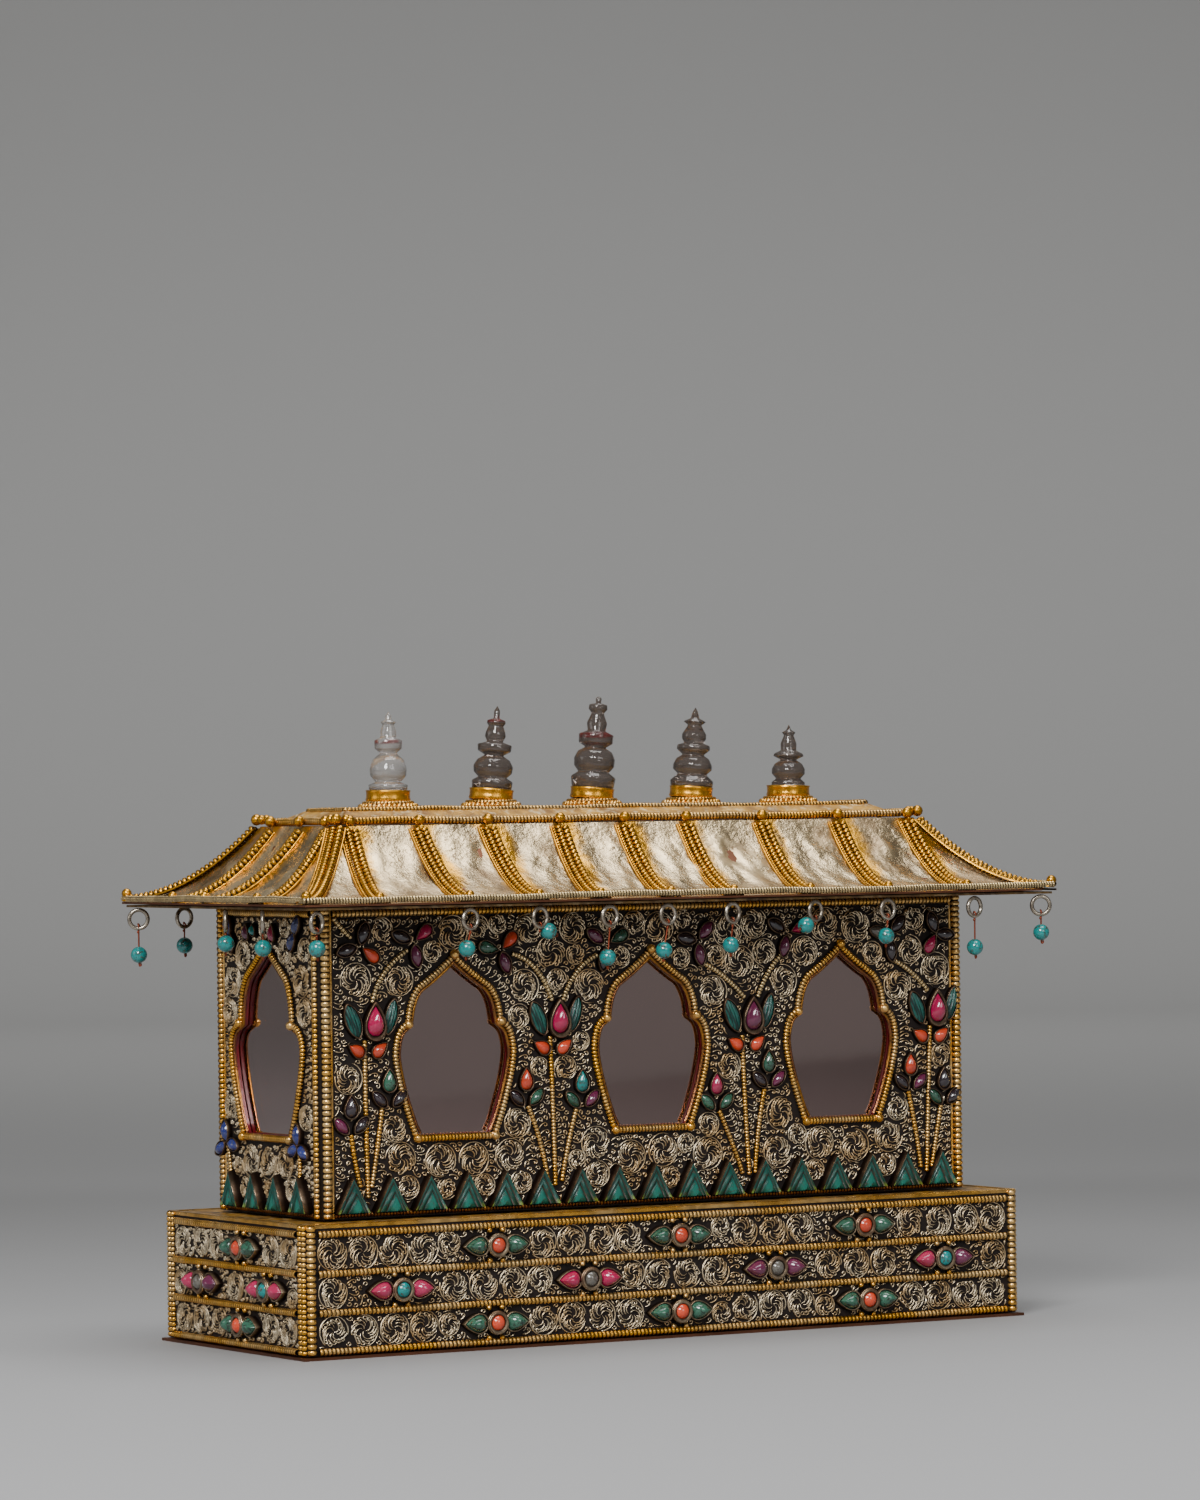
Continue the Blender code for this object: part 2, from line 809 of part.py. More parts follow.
def finial_shapes():
    """Radius and height of each crystal from its foot up, with its lean towards +X in degrees."""
    round_belly = [(0.0051, 0.0030), (0.0063, 0.0076), (0.0036, 0.0134), (0.0047, 0.0152),
                   (0.0047, 0.0180), (0.0031, 0.0190), (0.0022, 0.0236), (0.0025, 0.0246),
                   (0.0013, 0.0254), (0.0, 0.0280)]
    double_foot = [(0.0070, 0.0034), (0.0057, 0.0043), (0.0070, 0.0083), (0.0040, 0.0123),
                   (0.0057, 0.0140), (0.0057, 0.0162), (0.0034, 0.0172), (0.0035, 0.0207),
                   (0.0029, 0.0230), (0.0032, 0.0246), (0.0013, 0.0258), (0.0, 0.0302)]
    tall = [(0.0079, 0.0046), (0.0062, 0.0058), (0.0073, 0.0108), (0.0044, 0.0149),
            (0.0060, 0.0168), (0.0060, 0.0196), (0.0037, 0.0210), (0.0036, 0.0238),
            (0.0026, 0.0274), (0.0032, 0.0294), (0.0030, 0.0306), (0.0012, 0.0312), (0.0, 0.0338)]
    saucer = [(0.0076, 0.0024), (0.0059, 0.0046), (0.0070, 0.0081), (0.0045, 0.0118),
              (0.0059, 0.0142), (0.0056, 0.0154), (0.0040, 0.0162), (0.0043, 0.0194),
              (0.0029, 0.0228), (0.0037, 0.0243), (0.0018, 0.0254), (0.0009, 0.0288), (0.0, 0.0293)]
    small = [(0.0062, 0.0011), (0.0050, 0.0026), (0.0061, 0.0061), (0.0035, 0.0096),
             (0.0053, 0.0114), (0.0032, 0.0131), (0.0020, 0.0188), (0.0022, 0.0198),
             (0.0, 0.0226)]
    return ((round_belly, 0.0069, 1.0), (double_foot, 0.0072, 5.5), (tall, 0.0077, 5.5),
            (saucer, 0.0078, 4.5), (small, 0.0062, 1.6))


def pendant(drop, swing):
    """A ring, a wire through it and a bead, fused; the ring's top is at the origin."""
    middle = -ring_width / 2
    major = ring_width / 2 - ring_wire / 2
    circle = []
    for index in range(ring_sides):
        angle = 2 * math.pi * index / ring_sides
        circle.append((major * math.sin(angle), 0.0, middle + major * math.cos(angle)))
    ring = tube(circle, ring_wire, True)
    hook = Vector((0.0, 0.0, -ring_width + ring_wire))
    bead_at = hook + Vector((swing, 0.0, -drop))
    wire = bar(hook, bead_at, pendant_wire, 3)
    return combine(joined([ring, wire]), ball(bead_at, bead_width, 6, 3), "UNION")


def pendant_places():
    """Name, place on the eave, ring's turn and bead's drop and swing of each pendant."""
    edge_x = eave_length / 2 - pendant_inset
    edge_y = eave_depth / 2 - pendant_inset
    on_front = ((-0.286, 0.0075, -0.0018), (-0.197, 0.0022, 0.0040), (-0.107, 0.0120, -0.0012),
                (-0.031, 0.0100, -0.0020), (0.055, 0.0088, -0.0012), (0.166, 0.0024, -0.0052),
                (0.265, 0.0070, -0.0010), (0.385, 0.0120, 0.0))
    places = []
    for share, drop, swing in on_front:
        places.append((share * eave_length, -edge_y, -12, drop, swing))
    places.append((-edge_x + pendant_inset, -edge_y, 55, 0.0062, 0.0))
    places.append((edge_x - pendant_inset, -edge_y, 28, 0.0072, 0.0))
    for share, drop in ((-0.243, 0.0064), (-0.047, 0.0052), (0.430, 0.0102)):
        places.append((-edge_x, share * eave_depth, 62, drop, 0.0))
    places.append((edge_x, 0.30 * eave_depth, 62, 0.0070, 0.0))
    for share in (-0.42, 0.0, 0.42):
        places.append((share * eave_length, edge_y, 12, 0.0074, 0.0))
    return places


def build_all():
    clear_scene()
    group = new_collection("altar_box")
    gilt = principled("gilt_filigree", (0.42, 0.33, 0.17), 0.42, 0.9)
    silver = principled("silvered_roof", (0.60, 0.54, 0.42), 0.35, 0.9)
    copper = principled("copper_sheet", (0.32, 0.15, 0.09), 0.45, 0.8)
    gold = principled("gold_collar", (0.70, 0.47, 0.12), 0.30, 1.0)
    clear = principled("window_glass", (0.75, 0.78, 0.78), 0.05, 0.0, 1.0)
    smoky = principled("rock_crystal", (0.62, 0.60, 0.57), 0.08, 0.0, 0.9)
    bead = principled("turquoise_pendant", (0.05, 0.42, 0.40), 0.35, 0.0)

    base_x = plinth_length / 2 + base_overhang
    base_y = plinth_depth / 2 + base_overhang
    place("base_plate", block((-base_x, -base_y, 0.0), (base_x, base_y, base_thickness)), copper, group)
    place("plinth", plinth(), gilt, group)

    place("front_wall", moved(front_panel(), panel_matrix(front, wall_y)), gilt, group)
    place("back_wall", moved(back_panel(), panel_matrix(back, wall_y)), gilt, group)
    place("left_wall", moved(side_panel(), panel_matrix(left, wall_x)), gilt, group)
    place("right_wall", moved(side_panel(), panel_matrix(right, wall_x)), gilt, group)

    pane_x = wall_x - sheet - gap
    pane_y = wall_y - sheet - gap
    pane_top = apex_z + frame_wire + glass_margin
    inner_y = pane_y - glass_thickness
    place("front_glass", block((-pane_x, -pane_y, wall_foot), (pane_x, -inner_y, pane_top)), clear, group)
    side_y = inner_y - gap
    inner_x = pane_x - glass_thickness
    place("left_glass", block((-pane_x, -side_y, wall_foot), (-inner_x, side_y, pane_top)), clear, group)
    place("right_glass", block((inner_x, -side_y, wall_foot), (pane_x, side_y, pane_top)), clear, group)

    place("eave_soffit", eave_soffit(), copper, group)
    place("roof_skirt", roof_skirt(), silver, group)
    place("roof_cap", roof_cap(), silver, group)
    eave_x = eave_length / 2 - eave_wire / 2
    eave_y = eave_depth / 2 - eave_wire / 2
    eave_up = skirt_edge + gap + eave_wire / 2
    place("eave_rim", rim(eave_x, eave_y, eave_up, eave_wire), gilt, group)
    upper_x = upper_length / 2 - rim_wire / 2
    upper_y = upper_depth / 2 - rim_wire / 2
    place("upper_rim", rim(upper_x, upper_y, cap_foot + rim_wire / 2, rim_wire), gilt, group)
    tier_x = tier_length / 2 - tier_wire / 2
    tier_y = tier_depth / 2 - tier_wire / 2
    place("tier_rim", rim(tier_x, tier_y, collar_foot + tier_wire / 2, tier_wire), gilt, group)

    collar_top = granule_ring_height + thin_ring_height
    for index, (shape, foot_radius, lean) in enumerate(finial_shapes()):
        along = (index - 2) * finial_pitch
        tilt = math.radians(lean)
        ring = moved(collar(tilt), Matrix.Translation((along, 0, collar_foot)))
        place(f"finial_collar_{index + 1}", ring, gold, group)
        pivot = Matrix.Translation((along, 0, collar_foot + collar_top)) @ Matrix.Rotation(tilt, 4, "Y")
        stupa = moved(crystal(shape, foot_radius), pivot @ Matrix.Translation((0, 0, cup_height)))
        place(f"crystal_finial_{index + 1}", stupa, smoky, group)

    for index, (x, y, turn, drop, swing) in enumerate(pendant_places()):
        matrix = Matrix.Translation((x, y, soffit_z - gap)) @ Matrix.Rotation(math.radians(turn), 4, "Z")
        place(f"pendant_{index + 1:02d}", moved(pendant(drop, swing), matrix), bead, group)


build_all()
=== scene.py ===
"""Finish of a shrine-shaped altar box of gilded sheet copper with filigree, set stones and crystal finials.

Metres, +Z up. The front with three ogee windows faces -Y.
"""

import math

import bpy
import numpy as np
from bpy.props import FloatProperty, FloatVectorProperty, IntProperty, PointerProperty
from mathutils import Matrix, Vector


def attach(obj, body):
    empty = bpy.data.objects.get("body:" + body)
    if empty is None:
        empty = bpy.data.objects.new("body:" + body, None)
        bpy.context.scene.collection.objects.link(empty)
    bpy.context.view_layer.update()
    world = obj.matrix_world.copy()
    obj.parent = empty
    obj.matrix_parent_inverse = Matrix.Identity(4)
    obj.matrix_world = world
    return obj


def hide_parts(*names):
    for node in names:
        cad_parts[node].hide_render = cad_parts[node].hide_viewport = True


bl_info = {
    "name": "Filigree altar box",
    "version": (1, 0, 0),
    "blender": (4, 5, 0),
    "location": "View3D > Sidebar > Altar box",
    "description": "Dresses the solids of an altar box in filigree, beaded wire, stones and crystal",
    "category": "Object",
}

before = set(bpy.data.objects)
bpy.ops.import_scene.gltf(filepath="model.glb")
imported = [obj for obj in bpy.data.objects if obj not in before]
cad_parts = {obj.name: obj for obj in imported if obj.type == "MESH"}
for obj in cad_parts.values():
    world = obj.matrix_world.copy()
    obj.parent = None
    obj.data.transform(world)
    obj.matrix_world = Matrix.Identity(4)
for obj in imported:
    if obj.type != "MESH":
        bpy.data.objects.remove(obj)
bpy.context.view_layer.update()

# Sizes that the solids have
gap = 0.0003
sheet = 0.0015
plinth_length, plinth_depth, plinth_height, base_thickness = 0.300, 0.108, 0.047, 0.001
rail_wire = 0.0030
body_length, body_depth, wall_top = 0.272, 0.081, 0.156
corner_wire, side_corner_wire, top_wire, foot_wire = 0.0030, 0.0024, 0.0026, 0.0018
window_pitch = 0.0812667
sill_z, apex_z, side_apex_z = 0.0746, 0.1386, 0.1432
front_half, side_half = 0.0254, 0.0289
frame_wire = 0.0028
triangle_width, triangle_height, triangle_proud, triangle_lift = 0.0142, 0.0132, 0.0036, 0.0022
eave_length, eave_depth, upper_length, upper_depth = 0.316, 0.144, 0.243, 0.058
upper_height, skirt_edge, roof_hollow = 0.185, 0.1582, 2.0
eave_wire, rim_wire, tier_wire = 0.0024, 0.0028, 0.0026
tier_height = 0.1905
finial_pitch = 0.0425
wall_foot = plinth_height + gap
wall_x, wall_y = body_length / 2 - corner_wire / 2, body_depth / 2 - corner_wire / 2
plinth_x, plinth_y = plinth_length / 2 - rail_wire / 2, plinth_depth / 2 - rail_wire / 2
front, right, back, left = 0.0, math.pi / 2, math.pi, -math.pi / 2
outward = (0, 0, 1)
full_turn = 2 * math.pi
millimetre = 1000


# Shader graphs

class Value:
    """A socket that takes part in arithmetic: an expression on it adds Math nodes."""

    def __init__(self, graph, socket):
        self.graph = graph
        self.socket = socket

    def maths(self, operation, first, second):
        return self.graph.node("ShaderNodeMath", {"operation": operation}, {0: first, 1: second})

    def __add__(self, other):
        return self.maths("ADD", self, other)

    def __radd__(self, other):
        return self.maths("ADD", other, self)

    def __sub__(self, other):
        return self.maths("SUBTRACT", self, other)

    def __rsub__(self, other):
        return self.maths("SUBTRACT", other, self)

    def __mul__(self, other):
        return self.maths("MULTIPLY", self, other)

    def __rmul__(self, other):
        return self.maths("MULTIPLY", other, self)


class Finish:
    """A material with one Principled shader and the few nodes that feed it."""

    def __init__(self, name, **constants):
        self.material = bpy.data.materials.new(name)
        self.material.use_nodes = True
        self.tree = self.material.node_tree
        self.shader = self.tree.nodes["Principled BSDF"]
        for key, value in constants.items():
            self.shader.inputs[key.replace("_", " ")].default_value = value

    def node(self, kind, settings, values, output=0):
        """Any node: its settings first, then the values and links of its inputs."""
        made = self.tree.nodes.new(kind)
        for key, value in settings.items():
            setattr(made, key, value)
        for key, value in values.items():
            if isinstance(value, Value):
                self.tree.links.new(value.socket, made.inputs[key])
            else:
                made.inputs[key].default_value = value
        return Value(self, made.outputs[output])

    def place(self):
        return self.node("ShaderNodeTexCoord", {}, {}, "Object")

    def uv_map(self):
        return self.node("ShaderNodeUVMap", {"uv_map": "UVMap"}, {})

    def part(self, vector, axis):
        """One component of a vector: 0 is X, 1 is Y, 2 is Z."""
        return self.node("ShaderNodeSeparateXYZ", {}, {0: vector}, axis)

    def along(self, x, y):
        """How far a place lies in a level direction."""
        values = {0: self.place(), 1: (x, y, 0.0)}
        return self.node("ShaderNodeVectorMath", {"operation": "DOT_PRODUCT"}, values, "Value")

    def noise(self, scale, detail=3.0, roughness=0.55):
        values = {"Vector": self.place(), "Scale": scale, "Detail": detail, "Roughness": roughness}
        return self.node("ShaderNodeTexNoise", {}, values, "Fac")

    def step(self, value, low, high):
        """0 below low, 1 above high, smooth between."""
        settings = {"interpolation_type": "SMOOTHSTEP"}
        return self.node("ShaderNodeMapRange", settings, {0: value, 1: low, 2: high})

    def attribute(self, name):
        return self.node("ShaderNodeAttribute", {"attribute_name": name}, {}, "Fac")

    def mix(self, factor, first, second):
        values = {0: factor, 6: padded(first), 7: padded(second)}
        return self.node("ShaderNodeMix", {"data_type": "RGBA"}, values, 2)

    def feed(self, **links):
        for key, value in links.items():
            self.tree.links.new(value.socket, self.shader.inputs[key.replace("_", " ")])
        return self

    def bump(self, height, distance):
        values = {"Height": height, "Distance": distance, "Strength": 1.0}
        return self.feed(Normal=self.node("ShaderNodeBump", {}, values))


def padded(colour):
    return colour if isinstance(colour, Value) else (*colour[:3], 1.0)


# Meshes from grids of points

class Batch:
    """Grids of points that are gathered into the mesh of one piece."""

    def __init__(self, matrix=None):
        self.matrix = np.eye(4) if matrix is None else np.array(matrix)
        self.points, self.faces, self.slots, self.worn, self.tints, self.uvs = [], [], [], [], [], []
        self.count = 0

    def grids(self, points, slot=0, wrap=False, flip=False, worn=1.0, tint=0.5, uv=None):
        """K grids of R rows by C columns of points, an array of shape (K, R, C, 3)."""
        copies, rows, columns = points.shape[:3]
        across = columns if wrap else columns - 1
        r, c = np.meshgrid(np.arange(rows - 1), np.arange(across), indexing="ij")
        after = (c + 1) % columns
        quad = np.stack([r * columns + c, (r + 1) * columns + c,
                         (r + 1) * columns + after, r * columns + after], axis=-1).reshape(-1, 4)
        if flip:
            quad = quad[:, ::-1]
        starts = self.count + np.arange(copies) * rows * columns
        self.faces.append((starts[:, None, None] + quad[None]).reshape(-1, 4))
        flat = points.reshape(-1, 3)
        self.points.append(flat @ self.matrix[:3, :3].T + self.matrix[:3, 3])
        shape = (copies, rows, columns)
        # Per point, the share of the bright tone: low in hollows, where the finishes paint shade, and tarnish
        # on the roof
        self.worn.append(np.broadcast_to(worn, shape).reshape(-1))
        tint = np.asarray(tint, float)
        self.tints.append(np.broadcast_to(tint.reshape(-1, 1, 1) if tint.ndim else tint, shape).reshape(-1))
        uv = np.zeros(shape + (2,)) if uv is None else np.broadcast_to(uv, shape + (2,))
        self.uvs.append(uv.reshape(-1, 2))
        self.slots.append(np.full(copies * len(quad), slot))
        self.count += copies * rows * columns

    def piece(self, name, finishes, smooth=True):
        """The gathered grids as an object that stands in the scene."""
        points = np.concatenate(self.points).astype(np.float32)
        faces = np.concatenate(self.faces).astype(np.int32)
        mesh = bpy.data.meshes.new(name)
        mesh.vertices.add(len(points))
        mesh.vertices.foreach_set("co", points.ravel())
        mesh.loops.add(faces.size)
        mesh.loops.foreach_set("vertex_index", faces.ravel())
        mesh.polygons.add(len(faces))
        mesh.polygons.foreach_set("loop_start", np.arange(0, faces.size, 4, dtype=np.int32))
        mesh.polygons.foreach_set("material_index", np.concatenate(self.slots).astype(np.int32))
        mesh.polygons.foreach_set("use_smooth", np.full(len(faces), smooth))
        layer = mesh.uv_layers.new(name="UVMap")
        layer.data.foreach_set("uv", np.concatenate(self.uvs)[faces.ravel()].astype(np.float32).ravel())
        for key, values in (("worn", self.worn), ("tint", self.tints)):
            attribute = mesh.attributes.new(key, "FLOAT", "POINT")
            attribute.data.foreach_set("value", np.concatenate(values).astype(np.float32))
        mesh.update(calc_edges=True)
        mesh.validate()
        for finish in finishes:
            mesh.materials.append(finish)
        item = bpy.data.objects.new(name, mesh)
        bpy.context.scene.collection.objects.link(item)
        return item


def unit(vectors):
    return vectors / np.maximum(np.linalg.norm(vectors, axis=-1, keepdims=True), 1e-12)


def along_path(path, places):
    """Points at shares of a path's length."""
    steps = np.linalg.norm(np.diff(path, axis=0), axis=1)
    reach = np.concatenate([[0.0], np.cumsum(steps)])
    return np.stack([np.interp(places * reach[-1], reach, path[:, k]) for k in range(path.shape[1])], -1)


def path_length(path):
    return float(np.linalg.norm(np.diff(path, axis=0), axis=1).sum())


def swept(path, normals, radii, angles):
    """Rings of points round a path, an array of shape (1, rings, angles, 3)."""
    tangent = unit(np.gradient(path, axis=0))
    side = unit(np.cross(tangent, normals))
    out = np.cross(side, tangent)
    ring = (np.cos(angles)[None, :, None] * side[:, None]
            + np.sin(angles)[None, :, None] * out[:, None])
    return (path[:, None] + radii[:, None, None] * ring)[None]


half_section = np.radians(np.linspace(-28, 208, 6))
full_section = np.radians(np.arange(0, 360, 45.0))
low_share = 0.64


def ridged(batch, path, normal, diameter, pitch, slot=0, whole=False, low=low_share, rng=None):
    """A wire with a ridge at every pitch, like a row of pressed beads."""
    path = np.asarray(path, float)
    beads = max(int(round(path_length(path) / pitch)), 1)
    places = np.concatenate([(np.arange(beads)[:, None] + np.array([0.0, 0.30, 0.70])).ravel(), [beads]])
    points = along_path(path, places / beads)
    normals = np.ascontiguousarray(np.broadcast_to(np.asarray(normal, float), path.shape))
    normals = along_path(normals, places / beads)
    crest = np.concatenate([np.tile([0.0, 1.0, 1.0], beads), [0.0]])
    radii = diameter / 2 * (low + (1 - low) * crest)
    angles = full_section if whole else half_section
    rings = swept(points, normals, radii, angles)
    # Painted shade: the mask is low between the beads, and on a half wire also down its sides toward the
    # sheet
    worn = crest[None, :, None]
    if not whole:
        worn = worn * np.clip(np.sin(angles) + 0.75, 0.15, 1.0)[None, None, :]
    batch.grids(rings, slot, wrap=whole, worn=worn, tint=0.5 if rng is None else float(rng.random()))


def plain_wire(batch, path, normal, diameter, slot=0, whole=False):
    path = np.asarray(path, float)
    normals = np.broadcast_to(np.asarray(normal, float), path.shape)
    angles = full_section if whole else half_section
    radii = np.full(len(path), diameter / 2)
    batch.grids(swept(path, normals, radii, angles), slot, wrap=whole)


def balls(batch, centres, diameters, slot=0, across=10, down=7, squash=1.0):
    """Small balls; an array of centres and one of diameters."""
    centres = np.atleast_2d(np.asarray(centres, float))
    diameters = np.broadcast_to(np.asarray(diameters, float), (len(centres),))
    rise = np.linspace(-math.pi / 2, math.pi / 2, down)
    turn = np.linspace(0, full_turn, across, endpoint=False)
    shape = np.stack([np.cos(rise)[:, None] * np.cos(turn), np.cos(rise)[:, None] * np.sin(turn),
                      np.sin(rise)[:, None] * np.ones(across) * squash], axis=-1)
    points = centres[:, None, None] + diameters[:, None, None, None] / 2 * shape[None]
    batch.grids(points, slot, wrap=True, flip=True)


def turned(batch, profile, sides=40, slot=0):
    """A profile of (radius, height) from the foot up, spun about Z."""
    profile = np.asarray(profile, float)
    turn = np.linspace(0, full_turn, sides, endpoint=False)
    points = np.stack([profile[:, :1] * np.cos(turn), profile[:, :1] * np.sin(turn),
                       profile[:, 1:] * np.ones(sides)], axis=-1)[None]
    batch.grids(points, slot, wrap=True, flip=True)


def rounded(profile, rounds, cut_share):
    """A profile with its corners cut smooth, its ends kept."""
    points = np.asarray(profile, float)
    for _ in range(rounds):
        a, b = points[:-1], points[1:]
        near, far = a + cut_share * (b - a), b + cut_share * (a - b)
        cut = np.stack([near, far], axis=1).reshape(-1, points.shape[1])
        points = np.concatenate([points[:1], cut[1:-1], points[-1:]])
    return points


def panel_matrix(angle, distance):
    """From a panel's own space (along, up, outward) to the place of a wall that faces angle."""
    face = Matrix.Translation((0, -distance, 0)) @ Matrix.Rotation(math.pi / 2, 4, "X")
    return np.array(Matrix.Rotation(angle, 4, "Z") @ face)


# Filigree

wire_width, wire_height = 0.00044, 0.00080
head_radius, head_turn = 0.00062, 5.4
head_steps, hook_steps = 7, 4
arm_pitch, smallest_scroll = 0.0020, 0.0036
back_size = 1.45


def with_head(run, hand, size):
    """A wire's run of (x, y) points that goes on in a round open curl."""
    along = run[-1] - run[-2]
    heading = math.atan2(along[1], along[0])
    turns = hand * (np.arange(head_steps) + 0.5) * head_turn / head_steps
    lengths = head_radius * size * head_turn / head_steps * np.linspace(1.15, 0.72, head_steps)
    steps = lengths[:, None] * np.stack([np.cos(heading + turns), np.sin(heading + turns)], axis=-1)
    return np.concatenate([run, run[-1] + np.cumsum(steps, axis=0)])


def hook(start, heading, length, sweep, hand, size):
    """A wire that runs in an arc and ends in a curl."""
    angle = heading + hand * sweep * (np.arange(hook_steps) + 0.5) / hook_steps
    steps = length / hook_steps * np.stack([np.cos(angle), np.sin(angle)], axis=-1)
    run = np.asarray(start) + np.concatenate([[[0.0, 0.0]], np.cumsum(steps, axis=0)])
    return with_head(run, hand, size)


def medallion(x, y, radius, rng, size):
    """The wires of one swirl: arms that leave its middle and end in curls under its open rim."""
    hand = 1 if rng.random() < 0.5 else -1
    start = rng.uniform(0, full_turn)

    def polar(reach, angle):
        angle = start + hand * angle
        return np.stack([x + reach * np.cos(angle), y + reach * np.sin(angle)], -1)

    turn = np.linspace(0, full_turn * rng.uniform(0.45, 0.95), 18)
    wires = [polar(radius * (1.0 - 0.05 * turn / turn[-1]), turn)]
    arms = max(int(round(full_turn * 0.78 * radius / (arm_pitch * size))), 4)
    share = np.linspace(0, 1, 6)
    for arm in range(arms):
        inner, swing = ((0.07, 1.90), (0.50, 0.75), (0.28, 1.20), (0.54, 0.70))[arm % 4]
        outer = 0.86 - (0.12 if rng.random() < 0.25 else 0.0)
        angle = full_turn * (arm + rng.uniform(-0.12, 0.12)) / arms - swing * (1 - share)
        run = polar(radius * (inner + (outer - inner) * share ** 0.85), angle)
        wires.append(with_head(run, hand, size * rng.uniform(0.90, 1.10)))
    return wires


def lay_wires(batch, wires, rng):
    """Flat scroll wires stood on the sheet, each a ridge that tapers at its ends."""
    by_count = {}
    for wire in wires:
        by_count.setdefault(len(wire), []).append(wire)
    for count, group in by_count.items():
        paths = np.array(group)
        tangent = unit(np.gradient(paths, axis=1))
        side = np.stack([tangent[..., 1], -tangent[..., 0]], axis=-1)
        taper = np.ones(count)
        taper[0] = taper[-1] = 0.25
        reach = side * (wire_width / 2 * taper)[None, :, None]
        height = wire_height * rng.uniform(0.8, 1.25, (len(group), 1)) * (0.35 + 0.65 * taper)[None]
        ring = np.zeros(paths.shape[:2] + (3, 3))
        ring[:, :, 0, :2] = paths + reach
        ring[:, :, 1, :2] = paths
        ring[:, :, 1, 2] = height
        ring[:, :, 2, :2] = paths - reach
        # Painted shade at both feet of each wire
        worn = np.array([0.25, 1.0, 0.25])[None, None]
        batch.grids(ring, worn=worn, tint=rng.random(len(group)))


def inside(outline, x, y):
    """Which points lie inside a closed outline."""
    hit = np.zeros(x.shape, bool)
    ends = np.roll(outline, -1, axis=0)
    for (x0, y0), (x1, y1) in zip(outline, ends):
        if y0 == y1:
            continue
        crosses = (y0 > y) != (y1 > y)
        hit ^= crosses & (x < (x1 - x0) * (y - y0) / (y1 - y0) + x0)
    return hit


def fill_with_scrolls(low, high, blocked, holes, largest, rng, ready, size):
    """Swirls packed round blocked discs (x, y, radius) and holes, then hooks in what is left."""
    step = 0.0005
    x, y = np.meshgrid(np.arange(low[0], high[0], step), np.arange(low[1], high[1], step))
    room = np.minimum.reduce([x - low[0], high[0] - x, y - low[1], high[1] - y]) + 0.0002
    for bx, by, radius in blocked:
        room = np.minimum(room, np.hypot(x - bx, y - by) - radius)
    for outline in holes:
        room[inside(outline, x, y)] = -1.0
    weight = rng.uniform(0.88, 1.0, room.shape)
    wires = []
    for cx, cy, radius in ready:
        wires += medallion(cx, cy, radius, rng, size)
        room = np.minimum(room, np.hypot(x - cx, y - cy) - radius)
    while True:
        best = np.argmax(np.minimum(room, largest) * weight)
        cx, cy = x.flat[best], y.flat[best]
        radius = min(room.flat[best], largest)
        if radius < smallest_scroll:
            break
        wires += medallion(cx, cy, radius, rng, size)
        room = np.minimum(room, np.hypot(x - cx, y - cy) - radius + 0.0001)
    return wires + hooks_between(x, y, room, low, rng, size)


def hooks_between(x, y, room, low, rng, size):
    """Hooks that lean away from what bounds the free room, then short strands in the rest."""
    cell, clearance = 0.00025, 0.00064
    taken = np.repeat(np.repeat(room < 0.00028, 2, axis=0), 2, axis=1)
    edge = np.array(taken.shape) - 1
    reach = clearance * size / cell
    dy, dx = np.mgrid[-4:5, -4:5]
    disc = np.stack([dy, dx], axis=-1)[np.hypot(dy, dx) <= reach]
    slope_y, slope_x = np.gradient(room)
    away = np.arctan2(slope_y, slope_x)
    r, c = np.nonzero((room > 0.0003) & (room < 0.0045))
    order = np.lexsort((x[r, c] + 0.3 * y[r, c], np.floor(room[r, c] / (0.0022 * size))))
    hands = np.where(np.sin(x * 190 + 1.3) + np.sin(y * 170) > 0, 1, -1)
    wires = []

    def lay(wire):
        cells = np.floor((wire[:, ::-1] - (low[1], low[0])) / cell).astype(int)
        if cells.min() < 1 or (cells >= edge).any() or taken[cells[:, 0], cells[:, 1]].any():
            return False
        wires.append(wire)
        spots = np.clip((cells[:, None] + disc[None]).reshape(-1, 2), 0, edge)
        taken[spots[:, 0], spots[:, 1]] = True
        return True

    curled = ((0.0032, 0.0), (0.0020, 0.0), (0.0010, 0.0), (0.0010, 1.6), (0.0010, -1.6))
    strands = [(length, veer) for length in (0.0034, 0.0022) for veer in (0.0, 0.9, -0.9, 2.2, -2.2)]
    for tries, sweep, kept, spots in ((curled, 0.9, None, order[::2]),
                                      (strands, 1.1, hook_steps + 1, order[::4])):
        for row, column in zip(r[spots], c[spots]):
            if taken[2 * row, 2 * column]:
                continue
            hand, start = hands[row, column], (x[row, column], y[row, column])
            heading = away[row, column] - hand * 0.75 + rng.uniform(-0.2, 0.2)
            any(lay(hook(start, heading + veer, length * size, sweep, hand, size)[:kept])
                for length, veer in tries)
    return wires


def dotted(path, radius, step=0.0012):
    """Blocked discs along a path of (x, y) points."""
    path = np.asarray(path, float)
    count = max(int(path_length(path) / step), 2)
    points = along_path(path, np.linspace(0, 1, count))
    return [(px, py, radius) for px, py in points]


# Outlines that the panels share

def bend(start, pull, end, count):
    """Points along a quadratic curve, without its last point."""
    t = np.linspace(0, 1, count, endpoint=False)[:, None]
    start, pull, end = (np.asarray(point, float) for point in (start, pull, end))
    return (1 - t) ** 2 * start + 2 * t * (1 - t) * pull + t * t * end


